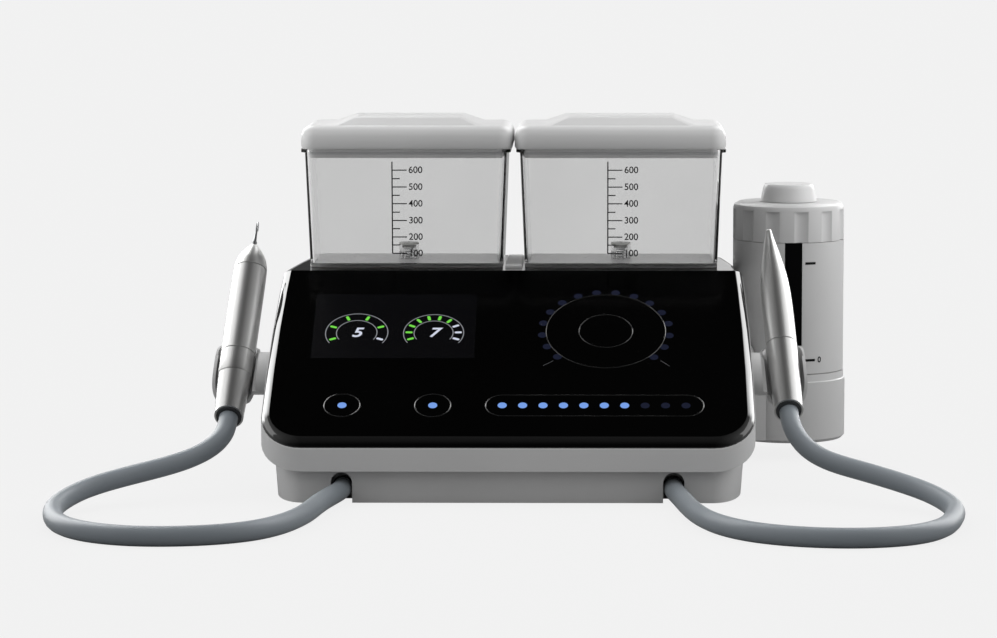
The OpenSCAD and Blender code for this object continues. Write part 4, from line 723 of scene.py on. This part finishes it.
def mirrored_studio(tree, x, y, z, side):
    """What gloss and metal mirror: a dark ceiling, walls that brighten to the sides and
    the rear, a pale backdrop near the horizon with a dark flag on its left, and two
    tall screens behind, so that edges shine and the glass stays black."""
    walls = maths(tree, "MULTIPLY", ramp(tree, side, 0.1, 0.6, 0.07, 0.42),
                  ramp(tree, y, -0.8, 0.0, 0.15, 1.0))
    backdrop = maths(tree, "MULTIPLY", ramp(tree, y, 0.4, 0.8, 0.0, 0.85),
                     ramp(tree, z, 0.2, 0.45, 1.0, 0.0))
    flag = ramp(tree, x, -0.06, 0.0, 0.08, 1.0)
    total = maths(tree, "MAXIMUM", walls, maths(tree, "MULTIPLY", backdrop, flag))
    # the inner edge of each screen leans, and its foot turns outward
    lean = maths(tree, "ADD", ramp(tree, z, 0.55, 0.95, 0.07, 0.22),
                 ramp(tree, z, 0.3, 0.45, 0.2, 0.0))
    borders = (ramp(tree, y, 0.32, 0.44, 0.0, 1.0), ramp(tree, z, 0.04, 0.08, 0.0, 1.0),
               ramp(tree, side, 0.74, 0.8, 1.0, 0.0))
    for sign, shift, strength in ((-1, 0.0, 5.5), (1, 0.06, 5.0)):
        inward = maths(tree, "SUBTRACT", maths(tree, "MULTIPLY", x, sign), lean)
        screen = ramp(tree, inward, shift, shift + 0.04, 0.0, strength)
        for border in borders:
            screen = maths(tree, "MULTIPLY", screen, border)
        total = maths(tree, "ADD", total, screen)
    return total


def studio():
    """The world: soft light for dull surfaces, a structured studio for glossy ones, and
    the plain pale backdrop wherever it is seen itself."""
    world = bpy.data.worlds.new("studio")
    bpy.context.scene.world = world
    tree = blank(world)
    way = add(tree, "ShaderNodeTexCoord").outputs["Generated"]
    x, y, z = add(tree, "ShaderNodeSeparateXYZ", {"Vector": way}).outputs
    side = maths(tree, "ABSOLUTE", x)
    lighting, mirrored, plain = (
        add(tree, "ShaderNodeBackground", {"Color": linear(colour), "Strength": strength})
        for colour, strength in (("#FFFFFF", soft_light(tree, x, y, z, side)),
                                 ("#FFFFFF", mirrored_studio(tree, x, y, z, side)),
                                 ("#F2F2F2", 1.0)))
    glossy = add(tree, "ShaderNodeLightPath").outputs["Is Glossy Ray"]
    around = mixed(tree, glossy, lighting.outputs[0], mirrored.outputs[0])
    add(tree, "ShaderNodeOutputWorld",
        {"Surface": mixed(tree, seen_plainly(tree), around, plain.outputs[0])})


def soft_boxes():
    """A lamp close to each side, which whitens the outer half of each handpiece."""
    for name, sign in (("left_soft_box", -1), ("right_soft_box", 1)):
        lamp = bpy.data.lights.new(name, "AREA")
        lamp.shape = "RECTANGLE"
        lamp.size, lamp.size_y = 0.36, 0.3
        lamp.energy = 0.33
        box = placed(name, lamp)
        box.matrix_world = (Matrix.Translation((sign * 0.36, -0.02, 0.3))
                            @ Matrix.Rotation(sign * math.radians(90), 4, "Y"))
        box.visible_camera = False


pale_floor()
studio()
soft_boxes()

bpy.context.view_layer.update()
